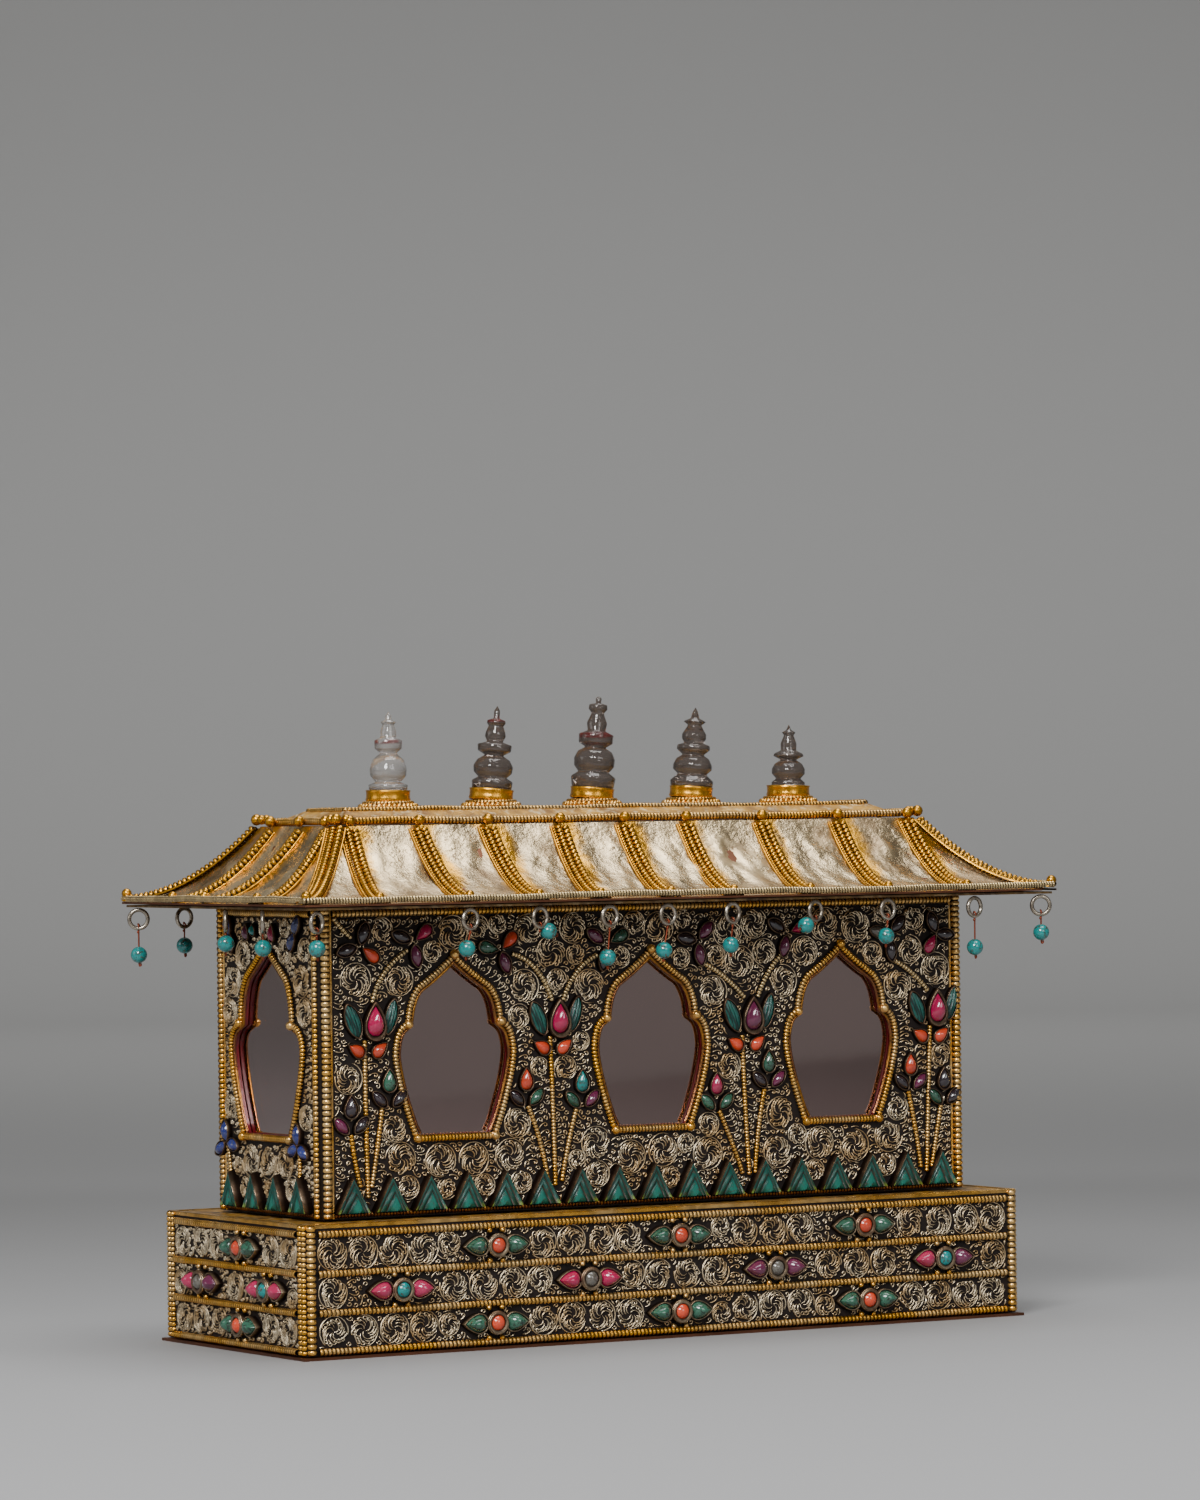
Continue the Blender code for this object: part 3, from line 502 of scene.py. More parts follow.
def window_half(half_width):
    """One side of an ogee window, from the apex down to the end of the sill."""
    is_side = half_width == side_half
    rise = (side_apex_z if is_side else apex_z) - sill_z
    cusp = 0.68 if is_side else 0.74
    cusp_z = 0.63 * (apex_z - sill_z) / rise

    def at(x, z):
        return x * half_width, sill_z + z * rise

    side = np.concatenate([
        bend(at(0.0, 1.0), at(0.28, 0.90), at(0.74 * cusp, 0.835), 6),
        bend(at(0.74 * cusp, 0.835), at(0.97 * cusp, 0.77), at(cusp, cusp_z), 7),
        bend(at(cusp, cusp_z), at(0.93, cusp_z - 0.02), at(0.945, 0.46), 8),
        bend(at(0.945, 0.46), at(0.92, 0.30), at(0.62, 0.0), 9),
        [at(0.62, 0.0)]])
    return side


def window_outline(half_width, inset=0.0, along=0.0):
    """The closed outline of a window, moved inward by an inset."""
    side = window_half(half_width)
    tangent = unit(np.gradient(side, axis=0))
    moved = side + np.stack([tangent[:, 1], -tangent[:, 0]], axis=-1) * inset
    moved[0] = (0.0, side[0, 1] - inset * 1.3)
    moved[-1] = (moved[-1, 0], side[-1, 1] + inset)
    other = moved[:0:-1] * (-1, 1)
    return np.concatenate([moved, other]) + (along, 0.0)


def lifted(path, height):
    """Flat (x, y) points given a height above the sheet."""
    path = np.asarray(path, float)
    return np.concatenate([path, np.full((len(path), 1), height)], axis=1)


def sheet_with_windows(name, half_run, outlines, matrix, finishes):
    """A flat sheet with its openings; its inner face takes the last finish."""
    curve = bpy.data.curves.new(name, "CURVE")
    curve.dimensions = "2D"
    curve.fill_mode = "BOTH"
    curve.extrude = sheet / 2
    corners = [(-half_run, wall_foot), (half_run, wall_foot), (half_run, wall_top), (-half_run, wall_top)]
    for outline in [corners, *outlines]:
        spline = curve.splines.new("POLY")
        spline.points.add(len(outline) - 1)
        for knot, (x, y) in zip(spline.points, outline):
            knot.co = (x, y, 0.0, 1.0)
        spline.use_cyclic_u = True
    item = bpy.data.objects.new(name + "_outline", curve)
    bpy.context.scene.collection.objects.link(item)
    graph = bpy.context.evaluated_depsgraph_get()
    mesh = bpy.data.meshes.new_from_object(item.evaluated_get(graph))
    bpy.data.objects.remove(item)
    bpy.data.curves.remove(curve)
    mesh.transform(Matrix.Translation((0, 0, -sheet / 2)))
    mesh.name = name
    mesh.materials.clear()
    for finish in finishes:
        mesh.materials.append(finish)
    for face in mesh.polygons:
        x, y = face.center.x, face.center.y
        at_rim = abs(x) > half_run - 0.001 or not wall_foot + 0.001 < y < wall_top - 0.001
        face.material_index = 0 if face.normal.z > 0.5 or at_rim and face.normal.z > -0.5 else 1
    mesh.transform(Matrix(matrix))
    mesh.update()
    made = bpy.data.objects.new(name, mesh)
    bpy.context.scene.collection.objects.link(made)
    return made


# Set stones

def pear(angle, width):
    return np.cos(angle), width * 1.12 * np.sin(angle) * np.abs(np.sin(angle / 2)) ** 0.9


def leaf(angle, width):
    return np.cos(angle), width * np.sin(angle) * np.abs(np.sin(angle)) ** 0.35


def oval(angle, width):
    return np.cos(angle), width * np.sin(angle)


def set_stone(batch, kind, shape, centre, length, width, tip, collet=2, height=0.0024,
              rim_share=0.84, dome=0.0018, carved=False):
    """A stone in its collet: the collet's wall and lip, then the domed or carved stone."""
    columns = 28
    angle = np.linspace(0, full_turn, columns, endpoint=False)
    x, y = shape(angle, width / length)
    tip = math.radians(tip)
    turn = np.array([[math.cos(tip), -math.sin(tip)], [math.sin(tip), math.cos(tip)]])
    flat = np.stack([x, y], -1) * length / 2

    def ring(share, z):
        spun = flat * share @ turn.T + np.asarray(centre)
        return np.concatenate([spun, np.broadcast_to(z, (columns,))[:, None]], axis=1)

    lip = height * 0.82
    wall = np.stack([ring(1.04, 0.0), ring(1.0, lip), ring(0.96, lip + 0.00022),
                     ring(rim_share + 0.03, lip - 0.0001), ring(rim_share, lip - 0.0004)])
    # Painted shade at the collet's foot and inside its lip
    worn = np.array([0.0, 0.7, 1.0, 0.45, 0.0])[None, :, None]
    batch.grids(wall[None], collet, wrap=True, flip=True, worn=worn, tint=(centre[0] * 977) % 1.0)
    shares = np.linspace(1.0, 0.0, 9) if carved else np.array([1.0, 0.94, 0.80, 0.58, 0.32, 0.0])
    rise = dome * (1 - shares ** 2.4)
    rings = np.stack([ring(rim_share * share, lip - 0.00042 + up) for share, up in zip(shares, rise)])
    local = np.stack([np.stack([x * share, y * share], -1) for share in shares])
    if carved:
        across = local[..., 1] / max(width / length, 0.01)
        rings[..., 2] += 0.00040 * np.cos(across * 13.0 + local[..., 0] * 2.2) * (shares < 0.99)[:, None]
    batch.grids(rings[None], stone_slots[kind], wrap=True, flip=True, tint=(centre[1] * 1373) % 1.0,
                uv=local[None])


def wedge(batch, along, up):
    """A malachite wedge with carved chevrons in a three-sided collet."""
    base = np.array([(-0.5, 0.0), (-0.25, 0.5), (0.0, 1.0), (0.25, 0.5), (0.5, 0.0),
                     (0.17, 0.0), (-0.17, 0.0)])
    size = np.array([triangle_width, triangle_height])

    def ring(share, z):
        return lifted(base * size * share + (along, up), z)

    wall = np.stack([ring(1.0, 0.0), ring(0.93, triangle_proud * 0.9), ring(0.90, triangle_proud)])
    # Painted shade at the foot of the collet
    batch.grids(wall[None], 2, wrap=True, worn=np.array([0.0, 0.7, 1.0])[None, :, None],
                tint=(along * 733) % 1.0)
    shares = np.array([0.90, 0.81, 0.76, 0.69, 0.56, 0.51, 0.44, 0.38, 0.05])
    depth = np.array([0.0, 0.0, -0.90, -0.10, 0.10, -0.85, -0.10, 0.0, 0.10]) * 0.001
    skew = 0.16 * math.sin(along * 4100.0 + up)
    rings = np.stack([ring(share, triangle_proud + deep) for share, deep in zip(shares, depth)])
    rings[..., 0] += (skew * triangle_width * (0.9 - shares) * 1.3)[:, None]
    local = np.stack([np.stack([np.full(len(base), share), base[:, 1] * share], -1) for share in shares])
    # Painted shade in the carved grooves: the mask is nought there
    worn = np.where(depth < -0.0003, 0.0, 1.0)[None, :, None]
    batch.grids(rings[None], stone_slots["wedge"], wrap=True, worn=worn, tint=(along * 1931) % 1.0,
                uv=local[None])


# The slots after those of the granules and the two collets
stone_slots = {name: index + 3 for index, name in enumerate((
    "ruby", "coral", "turquoise", "green", "dark", "purple", "lapis", "pink", "grey", "wedge", "petal"))}

# Places on the front in millimetres: along the wall, up, then the stones
blooms = ((-113.8, 116.4, "ruby"), (-38.7, 115.3, "ruby"), (42.7, 114.0, "purple"), (123.1, 114.6, "ruby"))
trios = (
    (-123.4, 83.2, ("dark", "purple", "dark")), (-108.0, 92.0, ("green", "dark", "dark")),
    (-52.4, 90.6, ("coral", "dark", "green")), (-29.4, 89.2, ("turquoise", "green", "purple")),
    (27.2, 86.2, ("pink", "green", "green")), (49.6, 93.6, ("green", "dark", "purple")),
    (111.4, 90.6, ("coral", "dark", "purple")), (126.2, 84.8, ("dark", "green", "dark")))
sprays = (
    ((-124.5, 141.5, "dark"), (-117.8, 147.4, "dark"), (-115.0, 139.8, "coral")),
    ((-102.6, 145.8, "dark"), (-93.6, 146.9, "ruby"), (-96.6, 138.9, "purple")),
    ((-67.2, 141.1, "green"), (-58.8, 143.4, "coral"), (-60.6, 135.6, "purple")),
    ((-23.2, 144.3, "purple"), (-13.3, 143.8, "green"), (-19.7, 135.7, "dark")),
    ((15.0, 142.5, "dark"), (23.4, 145.4, "purple"), (20.7, 136.5, "purple")),
    ((53.5, 146.4, "dark"), (63.6, 145.4, "ruby"), (57.0, 138.7, "purple")),
    ((98.0, 143.0, "grey"), (106.6, 145.9, "dark"), (103.3, 136.1, "dark")),
    ((121.8, 146.3, "dark"), (120.9, 138.2, "ruby"), (127.4, 141.6, "dark")))
stems = (
    ((-117.4, 109.8), (-117.4, 80.0), (-116.7, 54.3)), ((-123.3, 77.0), (-121.8, 66.0), (-119.7, 58.2)),
    ((-110.6, 86.6), (-113.0, 70.0), (-115.3, 58.0)), ((-114.2, 122.7), (-112.0, 134.0), (-99.7, 141.1)),
    ((-129.4, 153.0), (-126.0, 149.0), (-122.3, 145.6)), ((-57.6, 138.8), (-46.0, 136.0), (-41.0, 121.5)),
    ((-42.2, 109.0), (-41.0, 80.0), (-40.7, 55.6)), ((-51.6, 84.6), (-46.0, 72.0), (-43.6, 57.0)),
    ((-31.6, 82.8), (-35.6, 70.0), (-38.0, 57.0)), ((-22.0, 137.5), (-32.0, 134.0), (-36.6, 121.5)),
    ((38.7, 107.0), (39.4, 80.0), (41.0, 56.0)), ((28.4, 80.0), (34.0, 68.0), (38.2, 56.5)),
    ((48.0, 87.2), (44.0, 70.0), (43.6, 56.5)), ((21.0, 133.8), (30.0, 131.0), (40.0, 120.4)),
    ((56.0, 135.8), (50.0, 131.0), (45.4, 120.4)), ((120.6, 108.0), (119.4, 80.0), (118.4, 54.0)),
    ((110.6, 84.2), (114.0, 70.0), (115.8, 55.6)), ((125.0, 78.6), (122.6, 66.0), (120.6, 55.6)),
    ((103.0, 133.2), (112.0, 130.0), (120.0, 120.8)))


def front_stones(batch):
    """Blooms, trios and sprays of the front; gives back the discs that they cover."""
    covered = []
    for x, z, kind in blooms:
        x, z = x / millimetre, z / millimetre
        for shift, lift, tip, width in ((-0.0086, 0.0002, 112, 0.0062), (0.0066, 0.0014, 76, 0.0050)):
            set_stone(batch, "petal", leaf, (x + shift, z + lift), 0.0134, width, tip,
                      height=0.0026, rim_share=0.88, dome=0.0010, carved=True)
            covered += [(x + shift, z + lift + step, 0.0026) for step in (-0.004, 0.0, 0.004)]
        set_stone(batch, kind, pear, (x, z), 0.0140, 0.0100, 90, height=0.0036, rim_share=0.74, dome=0.0030)
        covered += [(x, z - 0.001, 0.0052), (x, z + 0.004, 0.0030)]
        for shift, tip in ((-0.0072, 150), (0.0022, 40)):
            set_stone(batch, "coral", pear, (x + shift, z - 0.0100), 0.0078, 0.0058, tip)
            covered.append((x + shift, z - 0.0100, 0.0032))
    places = ((0.0, 0.0034, 90, pear, 0.0088, 0.0066), (-0.0040, -0.0032, 134, leaf, 0.0082, 0.0044),
              (0.0040, -0.0030, 46, leaf, 0.0082, 0.0044))
    for x, z, kinds in trios:
        x, z = x / millimetre, z / millimetre
        for (shift, lift, tip, shape, length, width), kind in zip(places, kinds):
            set_stone(batch, kind, shape, (x + shift, z + lift), length, width, tip)
            covered.append((x + shift, z + lift, 0.0034))
    for stones in sprays:
        middle = np.mean([stone[:2] for stone in stones], axis=0)
        for x, z, kind in stones:
            heading = math.degrees(math.atan2(z - middle[1], x - middle[0]))
            is_pear = kind in ("ruby", "coral", "green")
            shape, width, turn = (pear, 0.0056, 180) if is_pear else (leaf, 0.0049, 0)
            place = (x / millimetre, z / millimetre)
            set_stone(batch, kind, shape, place, 0.0088, width, heading + turn)
            covered.append((*place, 0.0033))
    return covered


def wedge_row(batch, half_run, count):
    """The malachite wedges along the foot of a panel; gives back what they cover."""
    discs = ((-0.0045, 0.001, 0.0026), (0.0045, 0.001, 0.0026), (0, 0.0035, 0.0044), (0, 0.0085, 0.0026))
    foot = wall_foot + triangle_lift
    covered = []
    for index in range(count):
        along = (index - (count - 1) / 2) * (2 * half_run / count)
        wedge(batch, along, foot)
        covered += [(along + shift, foot + lift, radius) for shift, lift, radius in discs]
    return covered


# Beaded borders

def column(batch, along, low, high, width, pitch, rng):
    """An upright wire of pressed beads."""
    ridged(batch, [(along, low, width * 0.12), (along, high, width * 0.12)], outward, width, pitch, rng=rng)


def frame_border(batch, half_run, low, high, is_broad, rng):
    """The columns, top rail and foot wire of one wall."""
    if is_broad:
        corner, width, pitch, inset, edge_inset = corner_wire, 0.0036, 0.0020, 0.0019, 0.0042
    else:
        corner, width, pitch, inset, edge_inset = side_corner_wire, 0.0025, 0.0018, 0.0016, 0.0034
    for side in (-1, 1):
        column(batch, side * (half_run - inset), low, high, width, pitch, rng)
        edge = side * (half_run - edge_inset)
        plain_wire(batch, [(edge, low, 0.0), (edge, high, 0.0)], outward, 0.0011)
    inner = half_run - corner - 0.0014
    for up, lift, wire, pitch, slot in ((high - top_wire / 2 - gap, 0.0006, top_wire + 0.0002, 0.00155, 0),
                                        (low + foot_wire / 2 + gap, 0.0003, foot_wire, 0.0013, 1)):
        ridged(batch, [(-inner, up, lift), (inner, up, lift)], outward, wire, pitch, slot, rng=rng)


def window_wires(batch, half_width, along, rng):
    """The beaded frame of a window with its granules and the thin edge inside it."""
    side = window_half(half_width)
    for sign in (1, -1):
        path = lifted(side * (sign, 1) + (along, 0.0), 0.0009)
        ridged(batch, path, outward, frame_wire - 0.0004, 0.00130, rng=rng)
        edge = window_outline(half_width, 0.0018)[:len(side)] * (sign, 1) + (along, 0.0)
        plain_wire(batch, lifted(edge, 0.0006), outward, 0.0011, 1)
    (cusp_x, cusp_z), (foot_x, foot_z) = side[13], side[-1]
    sill = [(along - foot_x, foot_z, 0.0010), (along + foot_x, foot_z, 0.0010)]
    ridged(batch, sill, outward, frame_wire - 0.0001, 0.00135, rng=rng)
    spots = [(along, side[0, 1] + 0.0006), (along + cusp_x, cusp_z), (along - cusp_x, cusp_z),
             (along + foot_x, foot_z), (along - foot_x, foot_z)]
    balls(batch, lifted(spots, 0.0016), 0.0035)


# Plinth

plinth_rails = (0.0027, 0.0162, 0.0298, 0.0436)
plinth_scroll_pitch = 0.0118
greens = ("green", "coral", "green")
front_clusters = (
    (-73.3, 2, greens), (2.1, 2, greens), (80.8, 2, greens), (-111.7, 1, ("pink", "turquoise", "pink")),
    (-35.5, 1, ("ruby", "grey", "ruby")), (42.7, 1, ("purple", "grey", "purple")),
    (115.7, 1, ("pink", "turquoise", "purple")), (-73.9, 0, greens), (2.1, 0, greens), (82.3, 0, greens))
side_clusters = ((6.0, 2, greens), (-24.0, 1, ("pink", "grey", "purple")),
                 (26.0, 1, ("pink", "turquoise", "pink")), (6.0, 0, greens))


def stone_cluster(batch, x, z, kinds):
    """A round stone on a tall collet between two pears, with granules above and below."""
    for sign, kind in ((-1, kinds[0]), (1, kinds[2])):
        set_stone(batch, kind, pear, (x + sign * 0.0084, z), 0.0102, 0.0082, 90 - 90 * sign, 1,
                  height=0.0032, dome=0.0032)
    set_stone(batch, kinds[1], oval, (x, z), 0.0080, 0.0080, 0, 1, height=0.0046, rim_share=0.66, dome=0.0016)
    plain_wire(batch, circle_path(0.0039, 0.0030, 25) + (x, z, 0.0), outward, 0.0008, 1)
    spots = [(x + sx * 0.0026, z + sz * 0.0053, 0.0012) for sx in (-1, 1) for sz in (-1, 1)]
    balls(batch, spots, 0.0021, across=8, down=6)
    return [(x - 0.0086, z, 0.0042), (x + 0.0086, z, 0.0042), (x, z, 0.0048),
            (x - 0.0126, z, 0.0014), (x + 0.0126, z, 0.0014)]


def plinth_face(wires, beads, stones, half_run, clusters, is_broad, size, rng):
    """The beaded rails and columns, stones and scrolls of one face."""
    low, high = base_thickness + 2 * gap, plinth_height - gap
    border, shifts, width, pitch = (
        (0.0037, (0.0017,), 0.0036, 0.0021) if is_broad else (0.0050, (0.0012, 0.0036), 0.0024, 0.0018))
    for side in (-1, 1):
        for shift in shifts:
            column(beads, side * (half_run - shift), low, high, width, pitch, rng)
    inner = half_run - border - 0.0006
    for z in plinth_rails:
        ridged(beads, [(-inner, z, 0.0008), (inner, z, 0.0008)], outward, rail_wire - 0.0004, 0.0016, rng=rng)
    covered = ([], [], [])
    for x, row, kinds in clusters:
        middle = (plinth_rails[row] + plinth_rails[row + 1]) / 2
        covered[row].extend(stone_cluster(stones, x / millimetre, middle, kinds))
    count = int(2 * inner / plinth_scroll_pitch)
    for row, discs in enumerate(covered):
        bottom = plinth_rails[row] + rail_wire / 2 - 0.0005
        top = plinth_rails[row + 1] - rail_wire / 2 + 0.0005
        middle, radius = (bottom + top) / 2, (top - bottom) / 2
        ready = []
        for index in range(count):
            x = (index - (count - 1) / 2) * 2 * inner / count
            free = min([math.hypot(x - bx, middle - by) - r for bx, by, r in discs], default=1.0)
            if free > radius * 0.86:
                ready.append((x, middle, radius))
        scrolls = fill_with_scrolls((-inner, bottom), (inner, top), discs, [], radius, rng, ready, size)
        lay_wires(wires, scrolls, rng)


# Roof

dent_depth, lip_reach = 0.00065, 0.0085


def roof_height(share):
    return skirt_edge + (upper_height - skirt_edge) * np.maximum(1 - share, 0.0) ** roof_hollow


def roof_half(upper, eave, share):
    return (upper + (eave - eave_wire - upper) * share) / 2


def slope_point(along, share, upper, eave):
    """A point of the slope that faces -Y, for arrays of places."""
    return np.stack([along, -roof_half(upper, eave, share), roof_height(share)], axis=-1)


def slope_out(share, upper, eave):
    share = np.clip(share, 0.02, 0.98)
    rise = roof_height(share + 0.02) - roof_height(share - 0.02)
    run = roof_half(upper, eave, share + 0.02) - roof_half(upper, eave, share - 0.02)
    return unit(np.stack([np.zeros_like(share), rise, run], axis=-1))


front_ribs = ((-117.1, -127.0), (-89.4, -91.0), (-61.3, -63.0), (-31.4, -38.0), (-4.4, -9.0),
              (21.6, 17.5), (54.1, 50.0), (87.1, 83.6), (117.6, 118.0))
side_ribs = ((-23.0, -33.0), (-4.0, 8.0), (18.0, 33.0))


def roof_slopes():
    """Angle, lengths and ribs of the four slopes."""
    broad, narrow = (upper_length, eave_length), (upper_depth, eave_depth)
    back_ribs = [(place, place) for place in (-89.0, -30.0, 30.0, 89.0)]
    left_ribs = [(-top, -foot) for top, foot in side_ribs]
    return ((front, *broad, *narrow, front_ribs), (right, *narrow, *broad, side_ribs),
            (back, *broad, *narrow, back_ribs), (left, *narrow, *broad, left_ribs))


def turn_about_z(angle):
    return np.array(Matrix.Rotation(angle, 4, "Z"))


def roof_sheet_batch(rng):
    """The hollow-curved sheet of the skirt with its lip and underside."""
    batch = Batch()
    for angle, length_up, length_out, upper, eave, ribs in roof_slopes():
        batch.matrix = turn_about_z(angle)
        rows = np.linspace(0, 1, 22)
        columns = int(length_out / 0.0016)
        across = np.linspace(-1, 1, columns)
        half = roof_half(length_up, length_out, rows)
        x = half[:, None] * across[None]
        share = np.broadcast_to(rows[:, None], x.shape)
        near = np.full(x.shape, 1.0)
        for top, foot in ribs:
            near = np.minimum(near, np.abs(x - (top + (foot - top) * share) / 1000 - 0.0022))
        near = np.minimum(near, (1 - np.abs(across))[None] * half[:, None] + 0.001)
        points = slope_point(x, share, upper, eave)
        edge = np.minimum(np.minimum(share, 1 - share) * 5, (1 - np.abs(across))[None] * 12)
        dents = np.clip(edge, 0, 1) * dented(x * 1000, share * 40, rng)
        points = points + slope_out(share, upper, eave) * (dents * dent_depth)[..., None]
        uv = np.stack([near * 100, share], axis=-1)
        batch.grids(points[None], 0, worn=np.clip(dents * 0.5 + 0.5, 0, 1)[None], uv=uv[None])
        lip = np.stack([points[0], points[0] * (1, 0, 0) + [0, -(upper / 2 - lip_reach), upper_height]])
        lip[1, :, 0] = np.clip(lip[1, :, 0], -(length_up / 2 - lip_reach), length_up / 2 - lip_reach)
        batch.grids(lip[None], 0, flip=True, uv=np.array([0.02, 0.0]))
        under = slope_point(x[:, ::8], share[:, ::8], upper, eave) - (0, 0, 0.0007)
        batch.grids(under[None], 1, flip=True)
        rimmed = np.stack([points[-1, ::8], under[-1]])
        batch.grids(rimmed[None], 1)
    return batch


def dented(x, y, rng):
    """Soft hammered unevenness between -1 and 1."""
    total = np.zeros(x.shape)
    for _ in range(14):
        a, b = rng.uniform(0, math.pi, 2)
        long, wide = rng.uniform(7, 34, 2)
        phase, other = rng.uniform(0, 6, 2)
        total += (np.sin((x * math.cos(a) + y * math.sin(a)) * 2 * math.pi / long + phase)
                  * np.sin((x * math.cos(b) + y * math.sin(b)) * 2 * math.pi / wide + other))
    return np.clip(total / 4.5, -1.2, 1.2)


# How thick a rib's wires stay between their beads, then side shift, diameter and pitch of its strands
rib_low = 0.42
full_rib = ((-0.0017, 0.0028, 0.0020), (0.0009, 0.0024, 0.0017), (0.0028, 0.0014, 0.0012))
plain_rib = ((-0.0010, 0.0022, 0.0016), (0.0010, 0.0022, 0.0016))


def roof_rib(batch, path, normals, rng, strands=full_rib):
    """Beaded strands side by side between two thin edge wires."""
    tangent = unit(np.gradient(path, axis=0))
    side = unit(np.cross(tangent, normals))
    for shift, diameter, pitch in strands:
        centre = path + side * shift + normals * (diameter / 2 - 0.0004)
        ridged(batch, centre, normals, diameter, pitch, low=rib_low, rng=rng)
    for shift in (strands[0][0] - 0.0017, strands[-1][0] + 0.0010):
        plain_wire(batch, path + side * shift + normals * 0.0002, normals, 0.0009)


def roof_ribs(batch, rng):
    for angle, length_up, length_out, upper, eave, ribs in roof_slopes():
        batch.matrix = turn_about_z(angle)
        strands = plain_rib if angle == back else full_rib
        for top, foot in ribs:
            share = np.linspace(0.03, 0.975, 14)
            path = slope_point((top + (foot - top) * share) / millimetre, share, upper, eave)
            roof_rib(batch, path, slope_out(share, upper, eave), rng, strands)
            balls(batch, [path[0] + (0, -0.0006, 0.0034), path[-1] + (0, 0.0004, 0.0024)],
                  (0.0040, 0.0034))
    batch.matrix = np.eye(4)
    share = np.linspace(0.03, 0.965, 14)
    for sx in (-1, 1):
        for sy in (-1, 1):
            x, y = roof_half(upper_length, eave_length, share), roof_half(upper_depth, eave_depth, share)
            path = np.stack([sx * x, sy * y, roof_height(share) + 0.0004], axis=-1)
            normals = np.broadcast_to(unit(np.array([sx * 0.3, sy * 0.3, 1.0])), path.shape)
            roof_rib(batch, path, normals, rng)
            balls(batch, [path[0] + (0, 0, 0.0036), path[0] + (-sx * 0.004, 0, 0.0036),
                          path[0] + (0, -sy * 0.004, 0.0036), path[-1] + (0, 0, 0.0026)],
                  (0.0042, 0.0036, 0.0036, 0.0038))


def rectangle_path(half_x, half_y, z, corner, wobble):
    """A closed rectangle with small round corners, whose long runs waver."""
    points = []
    for sx, sy, start in ((1, -1, -90), (1, 1, 0), (-1, 1, 90), (-1, -1, 180)):
        for degrees in (0, 30, 60, 90):
            angle = math.radians(start + degrees)
            points.append((sx * (half_x - corner) + corner * math.cos(angle),
                           sy * (half_y - corner) + corner * math.sin(angle), z))
    points.append(points[0])
    path = along_path(np.array(points), np.linspace(0, 1, 260))
    reach = np.linspace(0, full_turn, len(path))
    path[:, 2] += wobble * (np.sin(reach * 5 + 1.0) + 0.6 * np.sin(reach * 13) + 0.4 * np.sin(reach * 29))
    return path


# Crystals and pendants

tenth = 10000
# Radius and height of each crystal in tenths of a millimetre, then its lean in degrees
crystal_profiles = (
    (((69, 3), (68, 20), (51, 30), (63, 52), (65, 76), (56, 108), (36, 134), (47, 150), (49, 166),
      (47, 180), (31, 190), (28, 212), (22, 236), (26, 246), (13, 254), (10, 268), (1, 280)), 1.0),
    (((72, 3), (72, 30), (57, 43), (68, 60), (70, 83), (58, 108), (40, 123), (57, 138), (58, 162),
      (34, 172), (37, 192), (35, 207), (29, 230), (33, 240), (30, 250), (13, 258), (10, 284),
      (1, 302)), 5.5),
    (((77, 3), (79, 40), (62, 58), (72, 80), (73, 108), (62, 134), (44, 149), (60, 165), (62, 182),
      (60, 196), (37, 210), (36, 238), (26, 274), (33, 290), (30, 306), (12, 312), (10, 328),
      (1, 338)), 5.5),
    (((78, 3), (77, 22), (59, 46), (70, 64), (70, 81), (60, 104), (45, 118), (59, 138), (57, 154),
      (40, 162), (44, 178), (43, 194), (29, 228), (37, 241), (18, 254), (10, 276), (1, 293)), 4.5),
    (((62, 3), (61, 12), (50, 26), (60, 44), (60, 62), (50, 82), (35, 96), (53, 110), (50, 120), (32, 131),
      (29, 156), (20, 188), (23, 198), (10, 208), (1, 226)), 1.6))
collar_foot, ring_step, thin_step, cup_height = tier_height + gap, 0.0019, 0.0014, 0.0033
collar_top = collar_foot + ring_step + thin_step


def finial_pivot(index):
    along = (index - 2) * finial_pitch
    lean = math.radians(crystal_profiles[index][1])
    return Matrix.Translation((along, 0, collar_top)) @ Matrix.Rotation(lean, 4, "Y")


def circle_path(radius, z, count):
    turn = np.linspace(0, 2 * math.pi, count)
    return np.stack([radius * np.cos(turn), radius * np.sin(turn), np.full(count, z)], axis=-1)


def collar_batch(index):
    """A ring of granules, a twisted ring and the sheet cup that holds a crystal."""
    batch = Batch(Matrix.Translation(((index - 2) * finial_pitch, 0, collar_foot)))
    balls(batch, circle_path(0.01005, 0.00095, 35)[:-1], 0.00195, across=8, down=6)
    ridged(batch, circle_path(0.0087, 0.0021, 73), outward, 0.0015, 0.0013, whole=True)
    turned(batch, [(0.0101, 0.0), (0.0098, 0.0010), (0.0088, 0.0014), (0.0078, 0.0030), (0.0, 0.0031)], 36)
    batch.matrix = np.array(finial_pivot(index))
    wall = [(0.0079, -0.0006), (0.00815, 0.0), (0.0079, 0.0008), (0.0079, 0.0026), (0.00815, 0.0033),
            (0.0078, 0.0034), (0.0075, 0.0032), (0.0075, 0.0012)]
    turned(batch, wall, slot=1)
    return batch


def crystal_batch(index):
    """A turned crystal whose necks are cut a little deeper than its profile says."""
    batch = Batch(finial_pivot(index) @ Matrix.Translation((0, 0, cup_height)))
    profile = np.array(crystal_profiles[index][0]) / tenth
    profile[1:-1, 0] += 0.40 * (profile[1:-1, 0] - (profile[:-2, 0] + profile[2:, 0]) / 2)
    foot = np.array([(0.00001, -0.0019), (0.0064, -0.0019), (0.0065, 0.0002)])
    turned(batch, np.concatenate([foot, rounded(profile, 1, 0.10)]), 48)
    return batch


